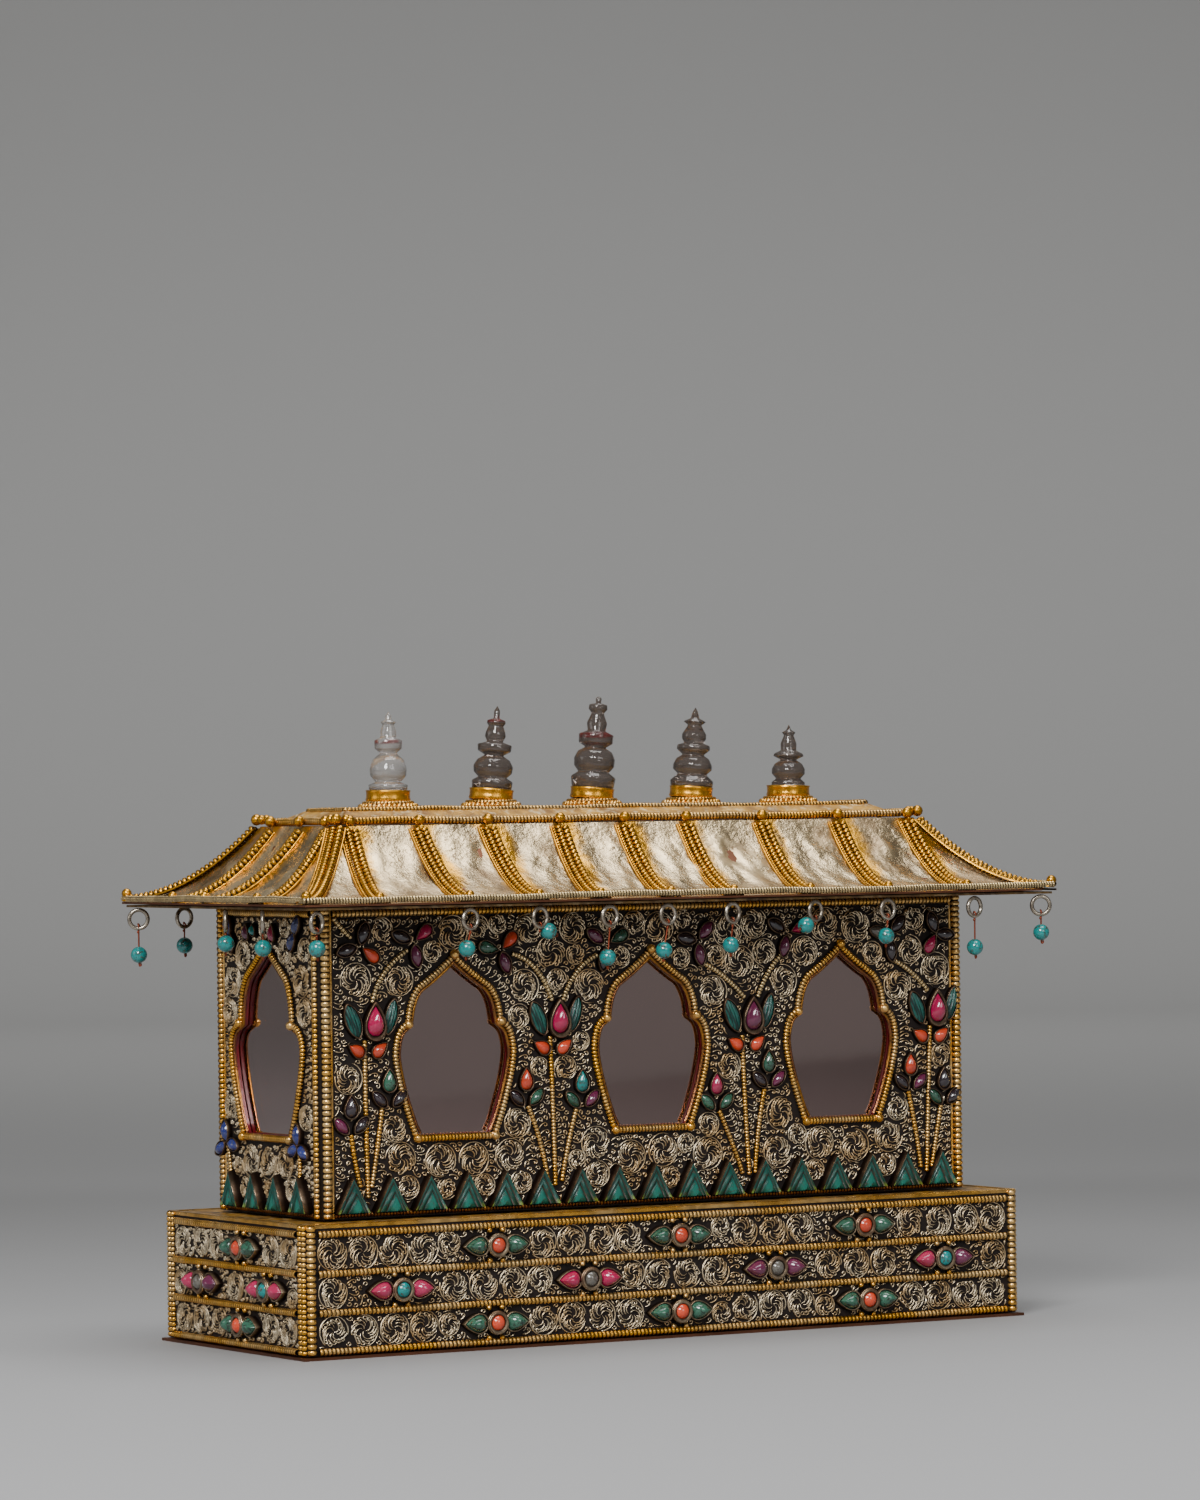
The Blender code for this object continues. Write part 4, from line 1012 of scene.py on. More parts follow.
# Place on the eave, turn of the ring in degrees, drop and swing of the bead, number
hangers = (
    (-90.4, -68.6, 12, 7.5, -1.8, 1), (-62.3, -68.6, 14, 2.2, 4.0, 2), (-33.8, -68.6, 8, 12.0, -1.2, 3),
    (-9.8, -68.6, 10, 10.0, -2.0, 4), (17.4, -68.6, 14, 8.8, -1.2, 5), (52.5, -68.6, 16, 2.4, -5.2, 6),
    (83.7, -68.6, 12, 7.0, -1.0, 7), (121.7, -68.6, 12, 12.0, 0.0, 8), (-151.2, -68.6, 25, 6.2, 0.0, 9),
    (151.2, -68.6, -26, 7.2, 0.0, 10), (-154.6, -35.0, 62, 6.4, 0.0, 11), (-154.6, -6.8, 62, 5.2, 0.0, 12),
    (-154.6, 61.9, -26, 10.2, 0.0, 13), (154.6, 43.2, -26, 7.0, 0.0, 14), (-132.7, 68.6, 12, 7.4, 0.0, 15),
    (0.0, 68.6, 12, 7.4, 0.0, 16), (132.7, 68.6, 12, 7.4, 0.0, 17))


def pendant_batch(x, y, turn, drop, swing):
    """A silver ring, a twisted copper wire and a drilled turquoise bead."""
    batch = Batch(Matrix.Translation((x / millimetre, y / millimetre, wall_top))
                  @ Matrix.Rotation(math.radians(turn), 4, "Z"))
    angles = np.linspace(0, full_turn, 33)
    ring = np.stack([0.00335 * np.sin(angles), np.zeros(33), -0.0040 + 0.00335 * np.cos(angles)], axis=-1)
    plain_wire(batch, ring, unit(ring - (0, 0, -0.0040)), 0.0015, whole=True)
    hook = np.array([0.0, 0.0, -0.0067])
    bead = hook + np.array([swing, 0.0, -drop]) / millimetre
    line = unit(bead - hook)
    end = bead + line * 0.0042
    curl = np.array([
        hook + (0.0004, 0.0009, 0.0004), hook + (-0.0003, 0.0, 0.0012), hook + (0.0, -0.0009, 0.0002),
        hook - (0, 0, 0.0008), bead, end, end + (0.0008, 0.0, 0.0004), end + (0.0006, 0.0, 0.0012)])
    plain_wire(batch, rounded(curl, 2, 0.22), (0.3, 1.0, 0.2), 0.0006, 1, whole=True)
    balls(batch, [hook - (0, 0, 0.0010), hook - (0.0002, 0, 0.0020)], 0.0011, 1, across=7, down=5)
    rise = np.linspace(-math.pi / 2 + 0.14, math.pi / 2 - 0.14, 15)[:, None, None]
    around = np.linspace(0, full_turn, 24, endpoint=False)[None, :, None]
    first = unit(np.cross(line, (0.0, 1.0, 0.02)))
    level = np.cos(around) * first + np.sin(around) * np.cross(line, first)
    batch.grids((bead + 0.0030 * (np.cos(rise) * level + np.sin(rise) * line))[None], 2, wrap=True, flip=True)
    return batch


# Finishes

def linear(red, green, blue):
    """A colour of 0 to 255 per channel as the scene's linear values."""
    shares = [channel / 255 for channel in (red, green, blue)]
    return tuple(c / 12.92 if c <= 0.04045 else ((c + 0.055) / 1.055) ** 2.4 for c in shares)


def scaled(colour, factor):
    return tuple(channel * factor for channel in colour)


def worn_metal(name, bright, dull, dark, low=0.12, high=0.85, roughness=0.23, patches=90.0):
    """Metal with painted shade in its hollows, deepened in places by grime, and patches of a duller tone."""
    made = Finish(name, Metallic=0.9)
    worn = made.step(made.attribute("worn"), low, high)
    patch = made.step(made.noise(patches, 4.0), 0.42, 0.62)
    tone = made.mix(made.attribute("tint") * 0.25 + patch * 0.45, bright, dull)
    grime = made.step(made.noise(patches * 6, 3.0), 0.30, 0.62)
    # Painted shade: where the mask is low, in the hollows, the hollows colour shows, deepened in places by
    # grime
    colour = made.mix(worn * (grime * 0.40 + 0.60), dark, tone)
    made.feed(Base_Color=colour, Roughness=roughness + 0.35 * (1 - worn) + 0.08 * patch)
    return made.bump(made.noise(2600.0, 2.0), 0.00006).material


def ground_finish(name, colour):
    """The sheet behind the filigree, painted near black as the shade in the gaps between the wires."""
    made = Finish(name, Metallic=0.35)
    soot = made.noise(160.0, 5.0, 0.65)
    speck = made.step(made.noise(900.0, 3.0), 0.60, 0.75)
    tone = made.mix(soot, scaled(colour, 0.45), scaled(colour, 1.5))
    made.feed(Base_Color=made.mix(speck * 0.5, tone, scaled(colour, 4.0)), Roughness=0.55 + 0.25 * soot)
    return made.bump(made.noise(1500.0, 3.0), 0.00008).material


def lacquer_finish(name, colour):
    """Clouded red lacquer."""
    made = Finish(name, Roughness=0.35)
    tone = made.mix(made.noise(60.0, 4.0), scaled(colour, 0.5), scaled(colour, 1.3))
    return made.feed(Base_Color=tone).bump(made.noise(400.0, 3.0), 0.0001).material


def roof_finish(name, silver, stain, brown):
    """Silvered sheet with tarnish in its hollows and a yellow stain beside the ribs."""
    made = Finish(name, Metallic=0.85)
    near, down = made.part(made.uv_map(), 0), made.part(made.uv_map(), 1)
    coat = made.step(made.noise(38.0, 7.0, 0.66), 0.30, 0.66)
    blotch = made.step(made.noise(24.0, 6.0, 0.62), 0.50, 0.66)
    fine = made.noise(420.0, 4.0, 0.6)
    tone = made.mix(coat, scaled(silver, 0.36), scaled(silver, 1.28))
    tone = made.mix(blotch * 0.5, tone, scaled(brown, 1.9))
    tone = made.mix((1 - made.attribute("worn")) * 0.35, tone, brown)
    beside = (1 - made.step(near + 0.5 * (fine - 0.5) + 0.45 * (coat - 0.5), 0.22, 0.80)) * 0.95
    tone = made.mix(beside, tone, stain)
    rust = made.step(made.noise(95.0, 5.0, 0.7), 0.58, 0.68)
    tone = made.mix(rust * (beside * 0.5 + 0.35), tone, brown)
    tone = made.mix(made.step(down + 0.10 * coat, 0.80, 1.04) * 0.7, tone, scaled(brown, 1.3))
    speck = made.step(fine, 0.60, 0.70)
    tone = made.mix(speck * 0.7, tone, brown)
    made.feed(Base_Color=tone, Roughness=0.17 + 0.22 * blotch + 0.15 * speck + 0.12 * coat)
    return made.bump(fine + 3.0 * coat, 0.00016).material


def tier_finish(name, cream, brown, gold):
    """Worn gilding over brown with cream remains."""
    made = Finish(name, Metallic=0.45)
    worn = made.step(made.noise(110.0, 5.0, 0.62), 0.32, 0.70)
    rub = made.step(made.noise(340.0, 4.0, 0.6), 0.48, 0.70)
    tone = made.mix(worn, brown, gold)
    tone = made.mix(rub * 0.55, tone, cream)
    made.feed(Base_Color=tone, Roughness=0.42 + 0.2 * rub)
    return made.bump(made.noise(600.0, 4.0), 0.00015).material


def copper_finish(name, colour):
    """Bare copper with tarnish."""
    made = Finish(name, Metallic=0.85)
    tarnish = made.noise(70.0, 5.0, 0.6)
    tone = made.mix(tarnish, scaled(colour, 0.45), scaled(colour, 1.25))
    made.feed(Base_Color=tone, Roughness=0.32 + 0.3 * tarnish)
    return made.bump(made.noise(500.0, 3.0), 0.00008).material


def stone_finish(name, colour, veins, coat, vein_share=0.5):
    """A polished stone whose tone differs from copy to copy."""
    made = Finish(name, Roughness=0.20, Coat_Weight=coat, Coat_Roughness=0.05)
    cloud = made.noise(330.0, 4.0, 0.6)
    tint = made.attribute("tint")
    tone = made.mix(cloud * 0.6 + tint * 0.4, scaled(colour, 0.40), scaled(colour, 1.30))
    if veins:
        vein = made.step(made.noise(700.0, 5.0, 0.7), vein_share, vein_share + 0.10)
        tone = made.mix(vein * 0.85, tone, veins)
    made.feed(Base_Color=tone)
    return made.bump(cloud, 0.00012).material


def chevron_finish(name, teal, groove, lime):
    """Malachite with painted shade of dark brown in its grooves, a lighter middle as a painted highlight, and
    lime-green lower corners.
    """
    made = Finish(name, Roughness=0.42, Coat_Weight=0.1)
    across = made.part(made.uv_map(), 0)
    cloud = made.noise(420.0, 5.0, 0.65)
    tone = made.mix(cloud * 0.7 + made.attribute("tint") * 0.3, scaled(teal, 0.35), scaled(teal, 1.3))
    low = 1 - made.step(made.part(made.uv_map(), 1), 0.02, 0.16)
    # Painted highlight: the middle of the wedge is lighter
    tone = made.mix((1 - made.step(across, 0.30, 0.46)) * 0.8, tone, scaled(teal, 2.3))
    tone = made.mix(low * made.step(across + 0.25 * cloud, 0.80, 0.98) * 0.8, tone, lime)
    pits = made.step(made.noise(800.0, 4.0, 0.6), 0.54, 0.68)
    tone = made.mix(pits * 0.7, tone, scaled(groove, 1.4))
    # Painted shade: the groove colour fills the carved grooves, where the mask is low
    tone = made.mix(1 - made.step(made.attribute("worn"), 0.1, 0.75), tone, groove)
    made.feed(Base_Color=tone, Roughness=0.35 + 0.35 * pits)
    return made.bump(cloud, 0.0002).material


def petal_finish(name, teal, dark):
    """Malachite with dark bands along the petal."""
    made = Finish(name, Roughness=0.38, Coat_Weight=0.15)
    stripe = made.node("ShaderNodeTexWave", {"wave_type": "BANDS", "bands_direction": "Y"},
                       {"Vector": made.uv_map(), "Scale": 1.9, "Distortion": 1.5, "Detail": 2.0}, "Fac")
    cloud = made.noise(420.0, 4.0, 0.6)
    tone = made.mix(cloud, scaled(teal, 0.40), scaled(teal, 1.4))
    tone = made.mix(made.step(stripe + 0.1 * made.part(made.uv_map(), 0), 0.45, 0.70) * 0.9, tone, dark)
    return made.feed(Base_Color=tone).bump(cloud + stripe, 0.00015).material


def crystal_finish(name, colour, red, band):
    """Rock crystal, with a red trace in one band of heights."""
    made = Finish(name, Roughness=0.07, IOR=1.54, Transmission_Weight=0.84)
    height = made.part(made.place(), 2)
    cloud = made.noise(260.0, 4.0, 0.6)
    tone = made.mix(cloud, scaled(colour, 0.72), scaled(colour, 1.10))
    low, high = band
    share = made.step(height, low, low + 0.0006) * (1 - made.step(height, high, high + 0.0006))
    tone = made.mix(share * made.step(cloud, 0.38, 0.55) * 0.85, tone, red)
    made.feed(Base_Color=tone)
    return made.bump(made.noise(180.0, 3.0), 0.0006).material


def pane_finish(name, mirror):
    """Old glass made as a tinted mirror over a dark inside; its mauve tone is a painted reflection of the
    grey room.
    """
    made = Finish(name, Alpha=0.86, Metallic=1.0)
    cloud = made.noise(26.0, 4.0)
    speck = made.step(made.noise(900.0, 2.0), 0.70, 0.78)
    tone = made.mix(cloud, scaled(mirror, 0.90), mirror)
    made.feed(Base_Color=made.mix(speck * 0.3, tone, scaled(mirror, 1.2)), Roughness=0.02 + 0.04 * cloud)
    return made.bump(made.noise(14.0, 2.0), 0.00003).material


def stone_finishes(look):
    """Gold granules, two collets, nine stones, the wedges' malachite and the carved petals."""
    gold = worn_metal("granule_gold", look.gold, look.silver, look.dark, patches=60.0)
    collets = [worn_metal(name, bright, scaled(look.copper, share), look.dark, low, 1.0)
               for name, bright, share, low in (("collet_copper", linear(176, 158, 130), 0.8, 0.2),
                                                ("collet_dark", linear(142, 122, 100), 0.5, 0.3))]
    stones = [stone_finish("stone_" + name, colour, veins, coat) for name, colour, veins, coat in (
        ("ruby", look.ruby, None, 1.0), ("coral", look.coral, None, 0.6),
        ("turquoise", look.turquoise, linear(70, 52, 34), 0.4),
        ("green", look.green, linear(24, 34, 26), 0.6), ("dark", look.dark_stone, None, 1.0),
        ("purple", look.purple, None, 1.0),
        ("lapis", look.lapis, linear(60, 62, 84), 0.7), ("pink", look.pink, None, 0.8),
        ("grey", look.grey, linear(70, 60, 52), 0.7))]
    wedges = chevron_finish("wedge_malachite", look.malachite, linear(58, 38, 22), linear(120, 140, 42))
    petals = petal_finish("petal_malachite", look.petal, linear(8, 26, 24))
    return [gold, *collets, *stones, wedges, petals]


def settled(piece, node):
    """Ties a piece to the object's body and hides the solid of the node it dresses."""
    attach(piece, "root")
    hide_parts(node)


def dressed(node, finish):
    """Gives a solid that stays its finish."""
    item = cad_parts[node]
    item.data.materials.clear()
    item.data.materials.append(finish)


def colour_setting(name, description, red, green, blue):
    return FloatVectorProperty(name=name, description=description, default=linear(red, green, blue),
                               subtype="COLOR", size=3, min=0.0, max=1.0)


class AltarLook(bpy.types.PropertyGroup):
    """Colours of the metals, stones and sheets."""

    gold: colour_setting("Gold", "Gilded crests of the beaded wires", 230, 166, 48)
    silver: colour_setting("Silver", "Silvery places of the wires", 228, 200, 146)
    filigree: colour_setting("Filigree", "Crests of the scroll wires", 250, 232, 198)
    # Hollows: painted shade between the wires' beads and at their feet, with some grime
    dark: colour_setting("Hollows", "Grime between the wires' beads", 28, 16, 9)
    ground: colour_setting("Ground", "Sheet behind the filigree", 26, 16, 12)
    copper: colour_setting("Copper", "Collets and bare copper", 128, 82, 60)
    lacquer: colour_setting("Lacquer", "Inside of the walls", 104, 12, 20)
    roof: colour_setting("Roof", "Silvered sheet of the roof", 222, 199, 156)
    stain: colour_setting("Stain", "Yellow stain beside the ribs", 204, 148, 30)
    ruby: colour_setting("Ruby", "Red glassy stones", 176, 14, 76)
    coral: colour_setting("Coral", "Coral stones", 212, 72, 42)
    turquoise: colour_setting("Turquoise", "Turquoise stones", 14, 140, 138)
    green: colour_setting("Green", "Green stones", 52, 98, 78)
    dark_stone: colour_setting("Dark stone", "Nearly black stones", 42, 32, 38)
    purple: colour_setting("Purple", "Purple stones", 104, 34, 70)
    lapis: colour_setting("Lapis", "Blue stones", 36, 48, 120)
    pink: colour_setting("Pink", "Pink stones", 178, 40, 84)
    grey: colour_setting("Grey", "Grey stones", 104, 100, 92)
    malachite: colour_setting("Malachite", "Carved wedges", 9, 76, 66)
    petal: colour_setting("Petals", "Carved petals", 16, 88, 78)


class AltarSizes(bpy.types.PropertyGroup):
    """Sizes and amounts of the fine relief."""

    largest_scroll: FloatProperty(
        name="Largest swirl", description="Radius of the largest swirl on the walls", default=0.0062,
        min=0.002, max=0.010, subtype="DISTANCE", unit="LENGTH")
    stem_width: FloatProperty(
        name="Stem", description="Width of the silver stems", default=0.0019,
        min=0.0008, max=0.0030, subtype="DISTANCE", unit="LENGTH")
    seed: IntProperty(name="Seed", description="Start of the random draws", default=5, min=0)


def finishes_of_wires(look):
    """Gold, copper and silver of the beaded wires."""
    gold = worn_metal("wire_gold", look.gold, look.silver, look.dark, patches=45.0)
    copper = worn_metal("wire_copper", look.copper, scaled(look.gold, 0.6), look.dark)
    stem = worn_metal("wire_silver", scaled(look.silver, 1.15), scaled(look.silver, 0.7), look.dark,
                      patches=200.0)
    return [gold, copper, stem]


def scroll_finish(name, look):
    """Silvered wire with gilded patches."""
    return worn_metal(name, look.filigree, scaled(look.gold, 0.62), look.dark, 0.25, 0.85, 0.22, 70.0)


def wall(name, angle, distance, half_run, look, sizes, rng):
    """One wall of the shrine body: its sheet, scrolls, wires and stones."""
    is_front, is_back = angle == front, angle == back
    is_broad = is_front or is_back
    matrix = panel_matrix(angle, distance)
    half_width = front_half if is_front else side_half
    places = (-window_pitch, 0.0, window_pitch) if is_front else () if is_back else (0.0,)
    outlines = [window_outline(half_width, 0.0012, along) for along in places]
    ground = ground_finish(name + "_ground", look.ground)
    inner = lacquer_finish(name + "_lacquer", look.lacquer)
    panel = sheet_with_windows(name + "_sheet", half_run, outlines, matrix, [ground, inner])
    wires, beads, stones = Batch(matrix), Batch(matrix), Batch(matrix)
    frame_border(beads, half_run, wall_foot + gap, wall_top, is_broad, rng)
    corner, wedges, margin = (corner_wire, 17, 0.0046) if is_broad else (side_corner_wire, 4, 0.0038)
    blocked = wedge_row(stones, half_run - corner, wedges)
    for along in places:
        window_wires(beads, half_width, along, rng)
        frame_line = window_outline(half_width, -0.0001, along)
        blocked += dotted(np.concatenate([frame_line, frame_line[:1]]), 0.0018)
    if is_front:
        blocked += front_stones(stones)
        for start, pull, end in stems:
            path = np.concatenate([bend(start, pull, end, 12), [end]]) / millimetre
            slot = 2 if end[1] > start[1] or start[1] > 130 else 0
            ridged(beads, lifted(path, 0.0007), outward, sizes.stem_width, 0.00125, slot, rng=rng)
            blocked += dotted(path, 0.0009)
    elif is_back:
        blocked += back_stones(stones)
    else:
        blocked += side_stones(stones, beads, sizes, -1 if angle == left else 1)
    edge = half_run - margin
    holes = [window_outline(half_width, -0.0008, along) for along in places]
    growth, size = (1.3, back_size) if is_back else (1.0, 1.0)
    scrolls = fill_with_scrolls((-edge, wall_foot + 0.0022), (edge, wall_top - 0.0030), blocked, holes,
                                sizes.largest_scroll * growth, rng, (), size)
    lay_wires(wires, scrolls, rng)
    silver = scroll_finish(name + "_scrolls", look)
    settled(panel, name)
    settled(wires.piece(name + "_filigree", [silver]), name)
    settled(beads.piece(name + "_wires", finishes_of_wires(look)), name)
    settled(stones.piece(name + "_stones", stone_finishes(look)), name)


side_groups = (((31.5, 75.9), (35.3, 69.6), (25.7, 71.2)), ((-23.4, 76.5), (-20.3, 71.1), (-27.6, 70.6)))
side_pairs = (((27.7, 149.8), (26.1, 143.8)), ((-24.5, 150.3), (-21.1, 144.5)))
side_singles = ((13.5, 147.5, "purple", 6.4), (8.2, 148.3, "turquoise", 4.6), (-6.2, 147.3, "pink", 7.0))
side_stems = (((30.8, 71.0), (29.0, 62.0), (27.5, 54.0)), ((-24.0, 71.0), (-24.0, 62.0), (-23.6, 54.0)))


def side_stones(batch, beads, sizes, hand):
    """Lapis leaves and the small stones over a side window."""
    covered = []
    for group in side_groups + side_pairs:
        middle = np.mean(group, axis=0)
        for y, z in group:
            heading = math.degrees(math.atan2(z - middle[1], (y - middle[0]) * hand))
            place = (y * hand / millimetre, z / millimetre)
            set_stone(batch, "lapis", leaf, place, 0.0086, 0.0050, heading)
            covered.append((*place, 0.0034))
    for y, z, kind, length in side_singles:
        place = (y * hand / millimetre, z / millimetre)
        set_stone(batch, kind, pear, place, length / millimetre, 0.0046, 90)
        covered.append((*place, length / 2000 + 0.0004))
    for start, pull, end in side_stems:
        path = np.concatenate([bend(start, pull, end, 8), [end]]) * (hand, 1) / millimetre
        ridged(beads, lifted(path, 0.0007), outward, sizes.stem_width, 0.00125)
        covered += dotted(path, 0.0009)
    return covered


def back_stones(batch):
    """A plain row of collets across the back."""
    covered = []
    for index, kind in enumerate(("coral", "turquoise", "coral", "turquoise", "coral")):
        along = (index - 2) * 0.048
        set_stone(batch, kind, oval, (along, 0.104), 0.0100, 0.0080, 90, 1, height=0.0028)
        covered.append((along, 0.104, 0.0056))
    return covered


class AltarOperator(bpy.types.Operator):
    """What the operators share."""

    bl_idname = "altar.base"
    bl_label = "Altar box part"

    def start(self, context, step):
        """The colours, the sizes and the random draws of one step."""
        sizes = context.scene.altar_sizes
        return context.scene.altar_look, sizes, np.random.default_rng(sizes.seed * 100 + step)


class ALTAR_OT_walls(AltarOperator):
    """Build the four walls of the shrine body"""

    bl_idname = "altar.walls"
    bl_label = "Walls"

    def execute(self, context):
        side_run = wall_y - sheet - gap
        faces = (("front_wall", front, wall_y, wall_x), ("left_wall", left, wall_x, side_run),
                 ("right_wall", right, wall_x, side_run), ("back_wall", back, wall_y, wall_x))
        for step, face in enumerate(faces):
            wall(*face, *self.start(context, step + 1))
        return {"FINISHED"}


class ALTAR_OT_plinth(AltarOperator):
    """Build the plinth with its rails, stones and scrolls"""

    bl_idname = "altar.plinth"
    bl_label = "Plinth"

    def execute(self, context):
        look, _, rng = self.start(context, 5)
        shell, beads, stones = Batch(), Batch(), Batch()
        x, y = plinth_x, plinth_y
        low, high, ledge = base_thickness + gap, plinth_height, 0.034
        top, under = high - 0.0004, high - 0.0019
        corners = np.array([(-1, -1), (1, -1), (1, 1), (-1, 1)])

        def level(inset, z):
            return np.concatenate([corners * (np.array([x, y]) - inset), np.full((4, 1), z)], axis=1)

        # The slot of each band of the shell and its rings of inset and height
        for slot, rings in (
                (0, ((0.0, low), (0.0, top))),
                (1, ((-0.0004, high - 0.0014), (-0.0004, high - 0.0003), (0.0, high), (0.0014, high),
                     (0.0018, top))),
                (2, ((0.0016, top), (ledge, top))),
                (3, ((0.0015, under), (0.0015, low), (0.0, low))),
                (3, ((ledge, under), (0.0015, under))),
                (3, ((ledge, top), (ledge, under)))):
            band = np.stack([level(inset, z) for inset, z in rings])
            shell.grids(band[None], slot, wrap=True, flip=True)
        silver = scroll_finish("plinth_scrolls", look)
        for face, angle, distance, half_run, clusters in (
                ("front", front, y, x, front_clusters), ("back", back, y, x, front_clusters),
                ("left", left, x, y, side_clusters), ("right", right, x, y, side_clusters)):
            wires = Batch()
            for batch in (wires, beads, stones):
                batch.matrix = panel_matrix(angle, distance)
            size = back_size if angle == back else 1.0
            plinth_face(wires, beads, stones, half_run, clusters, half_run == x, size, rng)
            settled(wires.piece("plinth_filigree_" + face, [silver]), "plinth")
        ground = ground_finish("plinth_ground", look.ground)
        fold = worn_metal("plinth_fold", look.gold, look.silver, look.dark, 0.0, 0.5, patches=45.0)
        gilding = tier_finish("plinth_top", scaled(look.silver, 0.9), linear(88, 62, 34),
                              scaled(look.gold, 0.72))
        bare = copper_finish("plinth_inside", look.copper)
        shell = shell.piece("plinth_shell", [ground, fold, gilding, bare], smooth=False)
        settled(shell, "plinth")
        settled(beads.piece("plinth_wires", finishes_of_wires(look)), "plinth")
        settled(stones.piece("plinth_stones", stone_finishes(look)), "plinth")
        return {"FINISHED"}


class ALTAR_OT_roof(AltarOperator):
    """Build the skirt of the roof with its ribs and rims and finish the cap"""

    bl_idname = "altar.roof"
    bl_label = "Roof"

    def execute(self, context):
        look, _, rng = self.start(context, 6)
        silver = roof_finish("roof_silver", look.roof, look.stain, linear(96, 72, 50))
        under = copper_finish("roof_under", look.copper)
        settled(roof_sheet_batch(rng).piece("roof_sheet", [silver, under]), "roof_skirt")
        ribs = Batch()
        roof_ribs(ribs, rng)
        rib_gold = worn_metal("rib_gold", scaled(look.gold, 0.85), scaled(look.gold, 0.6), look.dark,
                              0.2, 0.95, patches=60.0)
        settled(ribs.piece("roof_ribs", [rib_gold]), "roof_skirt")
        pale = scaled(look.silver, 0.85)
        for kind, half_x, half_y, z, wire, pitch, corner, wobble, bright in (
                ("eave", 0.1568, 0.0708, 0.1597, eave_wire, 0.00115, 0.0012, 0.00022, pale),
                ("upper", 0.1201, 0.0276, 0.1867, rim_wire, 0.00140, 0.0016, 0.0002, look.gold),
                ("tier", 0.1102, 0.0152, 0.1905, tier_wire - 0.0004, 0.00140, 0.0016, 0.0002, look.gold)):
            rim = Batch()
            path = rectangle_path(half_x, half_y, z, corner, wobble)
            ridged(rim, path, outward, wire, pitch, whole=True, rng=rng)
            metal = worn_metal(f"rim_{kind}_gold", bright, scaled(look.silver, 0.8), look.dark, patches=30.0)
            settled(rim.piece("rim_" + kind, [metal]), kind + "_rim")
        # The soffit takes darker copies of the cap's cream, brown and gilt: painted shade under the eave over
        # its worn gilding
        for node, name, cream, brown, gold in (
                ("roof_cap", "roof_cap_worn", (220, 206, 170), (128, 92, 52), (206, 158, 70)),
                ("eave_soffit", "soffit_worn", (150, 132, 100), (70, 50, 34), (128, 98, 52))):
            dressed(node, tier_finish(name, linear(*cream), linear(*brown), linear(*gold)))
        dressed("base_plate", copper_finish("base_copper", scaled(look.copper, 0.7)))
        return {"FINISHED"}


class ALTAR_OT_panes(AltarOperator):
    """Finish the glass panes behind the windows"""

    bl_idname = "altar.panes"
    bl_label = "Panes"

    def execute(self, context):
        for node in ("front_glass", "left_glass", "right_glass"):
            # Painted light: the side panes take a lighter mirror tone than the front pane
            mirror = (0.80, 0.62, 0.59) if node == "front_glass" else (0.92, 0.74, 0.72)
            dressed(node, pane_finish(node + "_clear", mirror))
        return {"FINISHED"}


class ALTAR_OT_finials(AltarOperator):
    """Build the five crystal finials and their collars"""

    bl_idname = "altar.finials"
    bl_label = "Finials"

    def execute(self, context):
        look = context.scene.altar_look
        smoky, clear, red = linear(132, 120, 112), linear(222, 219, 215), linear(150, 30, 28)
        # Heights between which a red trace shows in each crystal; the last two have none
        traces = ((0.0165, 0.0180), (0.0240, 0.0262), (0.0182, 0.0202), (0.9, 0.9), (0.9, 0.9))
        for index, trace in enumerate(traces):
            number = index + 1
            beads = worn_metal(f"collar_{number}_beads", look.gold, look.silver, look.dark, patches=60.0)
            cup = worn_metal(f"collar_{number}_cup", scaled(look.gold, 1.1), scaled(look.gold, 0.8),
                             look.dark, 0.0, 0.2)
            collar = collar_batch(index).piece(f"collar_{number}", [beads, cup])
            settled(collar, f"finial_collar_{number}")
            band = [collar_top + cup_height + height for height in trace]
            finish = crystal_finish(f"crystal_{number}_clear", smoky if index else clear, red, band)
            crystal = crystal_batch(index).piece(f"crystal_{number}", [finish])
            settled(crystal, f"crystal_finial_{number}")
        return {"FINISHED"}


class ALTAR_OT_pendants(AltarOperator):
    """Build the pendants under the eave"""

    bl_idname = "altar.pendants"
    bl_label = "Pendants"

    def execute(self, context):
        look = context.scene.altar_look
        ring = worn_metal("pendant_silver", linear(190, 180, 164), linear(120, 106, 88), look.dark, 0.0, 0.1)
        wire = copper_finish("pendant_copper", linear(150, 74, 50))
        bead = stone_finish("pendant_turquoise", linear(14, 136, 134), linear(64, 46, 26), 0.7, 0.52)
        for *form, number in hangers:
            piece = pendant_batch(*form).piece(f"hanger_{number:02d}", [ring, wire, bead])
            settled(piece, f"pendant_{number:02d}")
        return {"FINISHED"}


view_place = (-1.164174, -1.96915, 0.194892)
view_azimuth, view_elevation, view_roll = 30.672, 0.410, -0.738


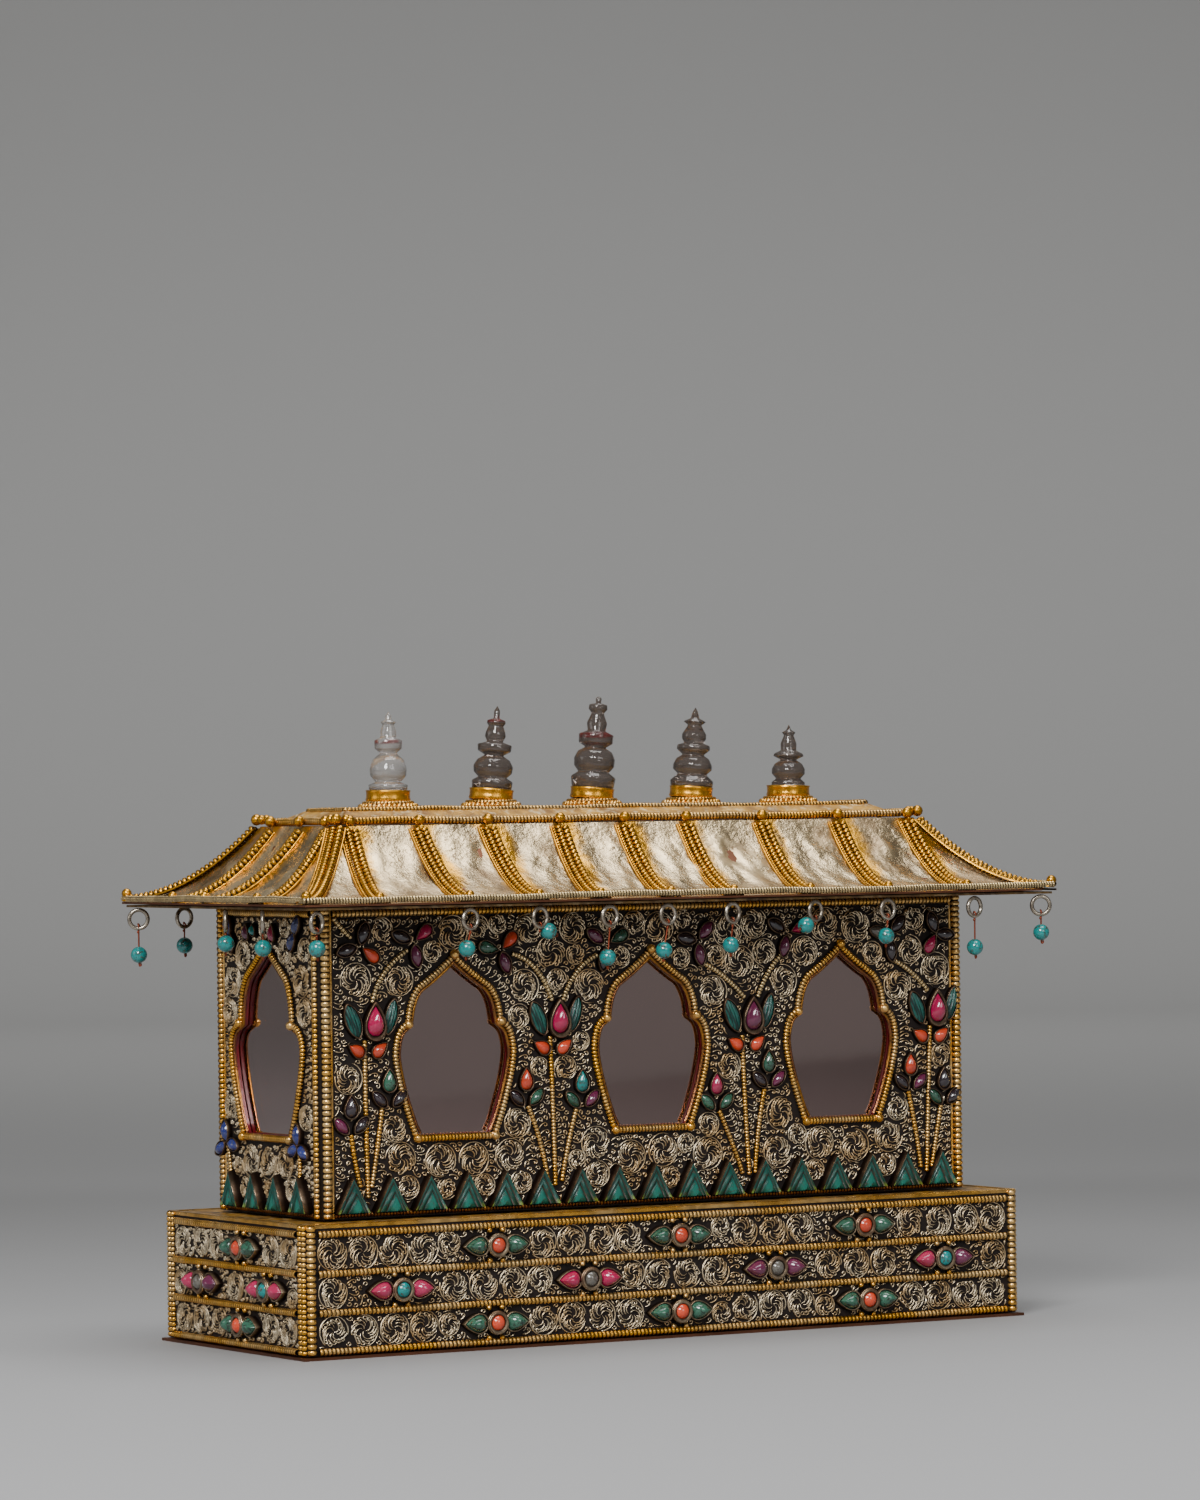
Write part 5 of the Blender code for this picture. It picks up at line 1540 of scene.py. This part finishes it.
class ALTAR_OT_stage(AltarOperator):
    """Set the floor, the lights, the world and the camera"""

    bl_idname = "altar.stage"
    bl_label = "Stage"

    def execute(self, context):
        scene = context.scene
        azimuth = math.radians(view_azimuth)
        ahead = (math.sin(azimuth), math.cos(azimuth))
        # A level floor away from the camera that curves up into a wall
        flat_end = 3.2
        turn = np.linspace(0.0, math.pi / 2, 14)[1:]
        run = np.concatenate([[-1.0, 0.0, 1.0, flat_end], flat_end + np.sin(turn), [flat_end + 1.0] * 2])
        rise = np.concatenate([np.zeros(4), 1.0 - np.cos(turn), [2.0, 5.0]])
        points = np.stack([np.stack([np.full(len(run), x), run, rise], axis=-1) for x in (-6.0, 6.0)])
        floor = Batch(turn_about_z(-azimuth))
        floor.grids(points[None])
        made = Finish("floor_pale", Roughness=0.70)
        height, away, aside = made.part(made.place(), 2), made.along(*ahead), made.along(ahead[1], -ahead[0])
        # Painted shade: the floor darker with distance from the camera
        depth = made.step(away + 0.06 * made.noise(3.0), -0.5, 0.85)
        table = made.mix(depth, linear(152, 152, 153), linear(110, 110, 110))
        # What only the panes mirror, in front of the picture and right of it, is darker
        unlit = made.step(aside, 0.36, 0.52) * (1 - made.step(away, -0.30, 0.0))
        table = made.mix(made.step(away, -0.85, -0.64) * (1 - unlit), linear(84, 80, 80), table)
        # Painted shade: the backdrop lighter at its foot, darker upward and far away
        backdrop = made.mix(made.step(height, 0.2, 2.2), linear(176, 176, 175), linear(134, 133, 131))
        far = made.mix(made.step(away, 0.9, 3.0), linear(118, 118, 118), backdrop)
        made.feed(Base_Color=made.mix(made.step(away, 0.74, 0.95), table, far))
        floor.piece("floor", [made.material])
        for name, energy, size, place, target in (
                ("key", 84.0, 0.9, (-1.7, -1.6, 1.7), (0, 0, 0.10)),
                ("fill", 19.0, 1.2, (0.1, -2.9, 1.2), (0, 0, 0.12)),
                ("side", 4.0, 0.9, (-1.9, 0.5, 0.8), (0, 0, 0.12)),
                ("backdrop", 31.0, 1.6, (1.2, 2.1, 3.6), (2.2, 3.7, 0.9)),
                ("top", 35.0, 1.3, (0.2, -0.1, 2.0), (0, 0, 0.1))):
            lamp = bpy.data.lights.new(name, "AREA")
            lamp.energy, lamp.size = energy, size
            item = bpy.data.objects.new(name, lamp)
            scene.collection.objects.link(item)
            item.location = place
            item.rotation_euler = (Vector(place) - Vector(target)).to_track_quat("Z", "Y").to_euler()
        scene.world = bpy.data.worlds.new("studio")
        scene.world.use_nodes = True
        light = scene.world.node_tree.nodes["Background"].inputs
        light["Color"].default_value, light["Strength"].default_value = (0.42, 0.415, 0.41, 1.0), 0.38
        camera = bpy.data.cameras.new("camera")
        camera.lens, camera.sensor_width, camera.sensor_fit = 150.0, 36.0, "AUTO"
        scene.camera = bpy.data.objects.new("camera", camera)
        scene.collection.objects.link(scene.camera)
        scene.camera.matrix_world = camera_matrix(view_place, view_azimuth, view_elevation, view_roll)
        return {"FINISHED"}


def camera_matrix(place, azimuth, elevation, roll):
    """A camera that looks along an azimuth from +Y, tilted up and rolled, in degrees."""
    a, t, r = (math.radians(value) for value in (azimuth, elevation, roll))
    ahead = Vector((math.sin(a) * math.cos(t), math.cos(a) * math.cos(t), math.sin(t)))
    across = Vector((math.cos(a), -math.sin(a), 0.0))
    up = across.cross(ahead)
    rolled_across = math.cos(r) * across + math.sin(r) * up
    rolled_up = -math.sin(r) * across + math.cos(r) * up
    matrix = Matrix((rolled_across, rolled_up, -ahead)).transposed().to_4x4()
    matrix.translation = place
    return matrix


class ALTAR_PT_panel(bpy.types.Panel):
    """Lists the parts of the altar box"""

    bl_idname = "ALTAR_PT_panel"
    bl_label = "Altar box"
    bl_space_type = "VIEW_3D"
    bl_region_type = "UI"
    bl_category = "Altar box"

    def draw(self, context):
        for group in (context.scene.altar_sizes, context.scene.altar_look):
            box = self.layout.box()
            for key in group.__annotations__:
                box.prop(group, key)
        for operator in operators:
            self.layout.operator(operator.bl_idname)


operators = (ALTAR_OT_walls, ALTAR_OT_plinth, ALTAR_OT_roof, ALTAR_OT_panes, ALTAR_OT_finials,
             ALTAR_OT_pendants, ALTAR_OT_stage)
classes = (AltarLook, AltarSizes, *operators, ALTAR_PT_panel)


def register():
    for item in classes:
        bpy.utils.register_class(item)
    bpy.types.Scene.altar_look = PointerProperty(type=AltarLook)
    bpy.types.Scene.altar_sizes = PointerProperty(type=AltarSizes)


def unregister():
    del bpy.types.Scene.altar_sizes
    del bpy.types.Scene.altar_look
    for item in reversed(classes):
        bpy.utils.unregister_class(item)


def main():
    register()
    bpy.ops.altar.walls()
    bpy.ops.altar.plinth()
    bpy.ops.altar.roof()
    bpy.ops.altar.panes()
    bpy.ops.altar.finials()
    bpy.ops.altar.pendants()
    bpy.ops.altar.stage()


if __name__ == "__main__":
    main()
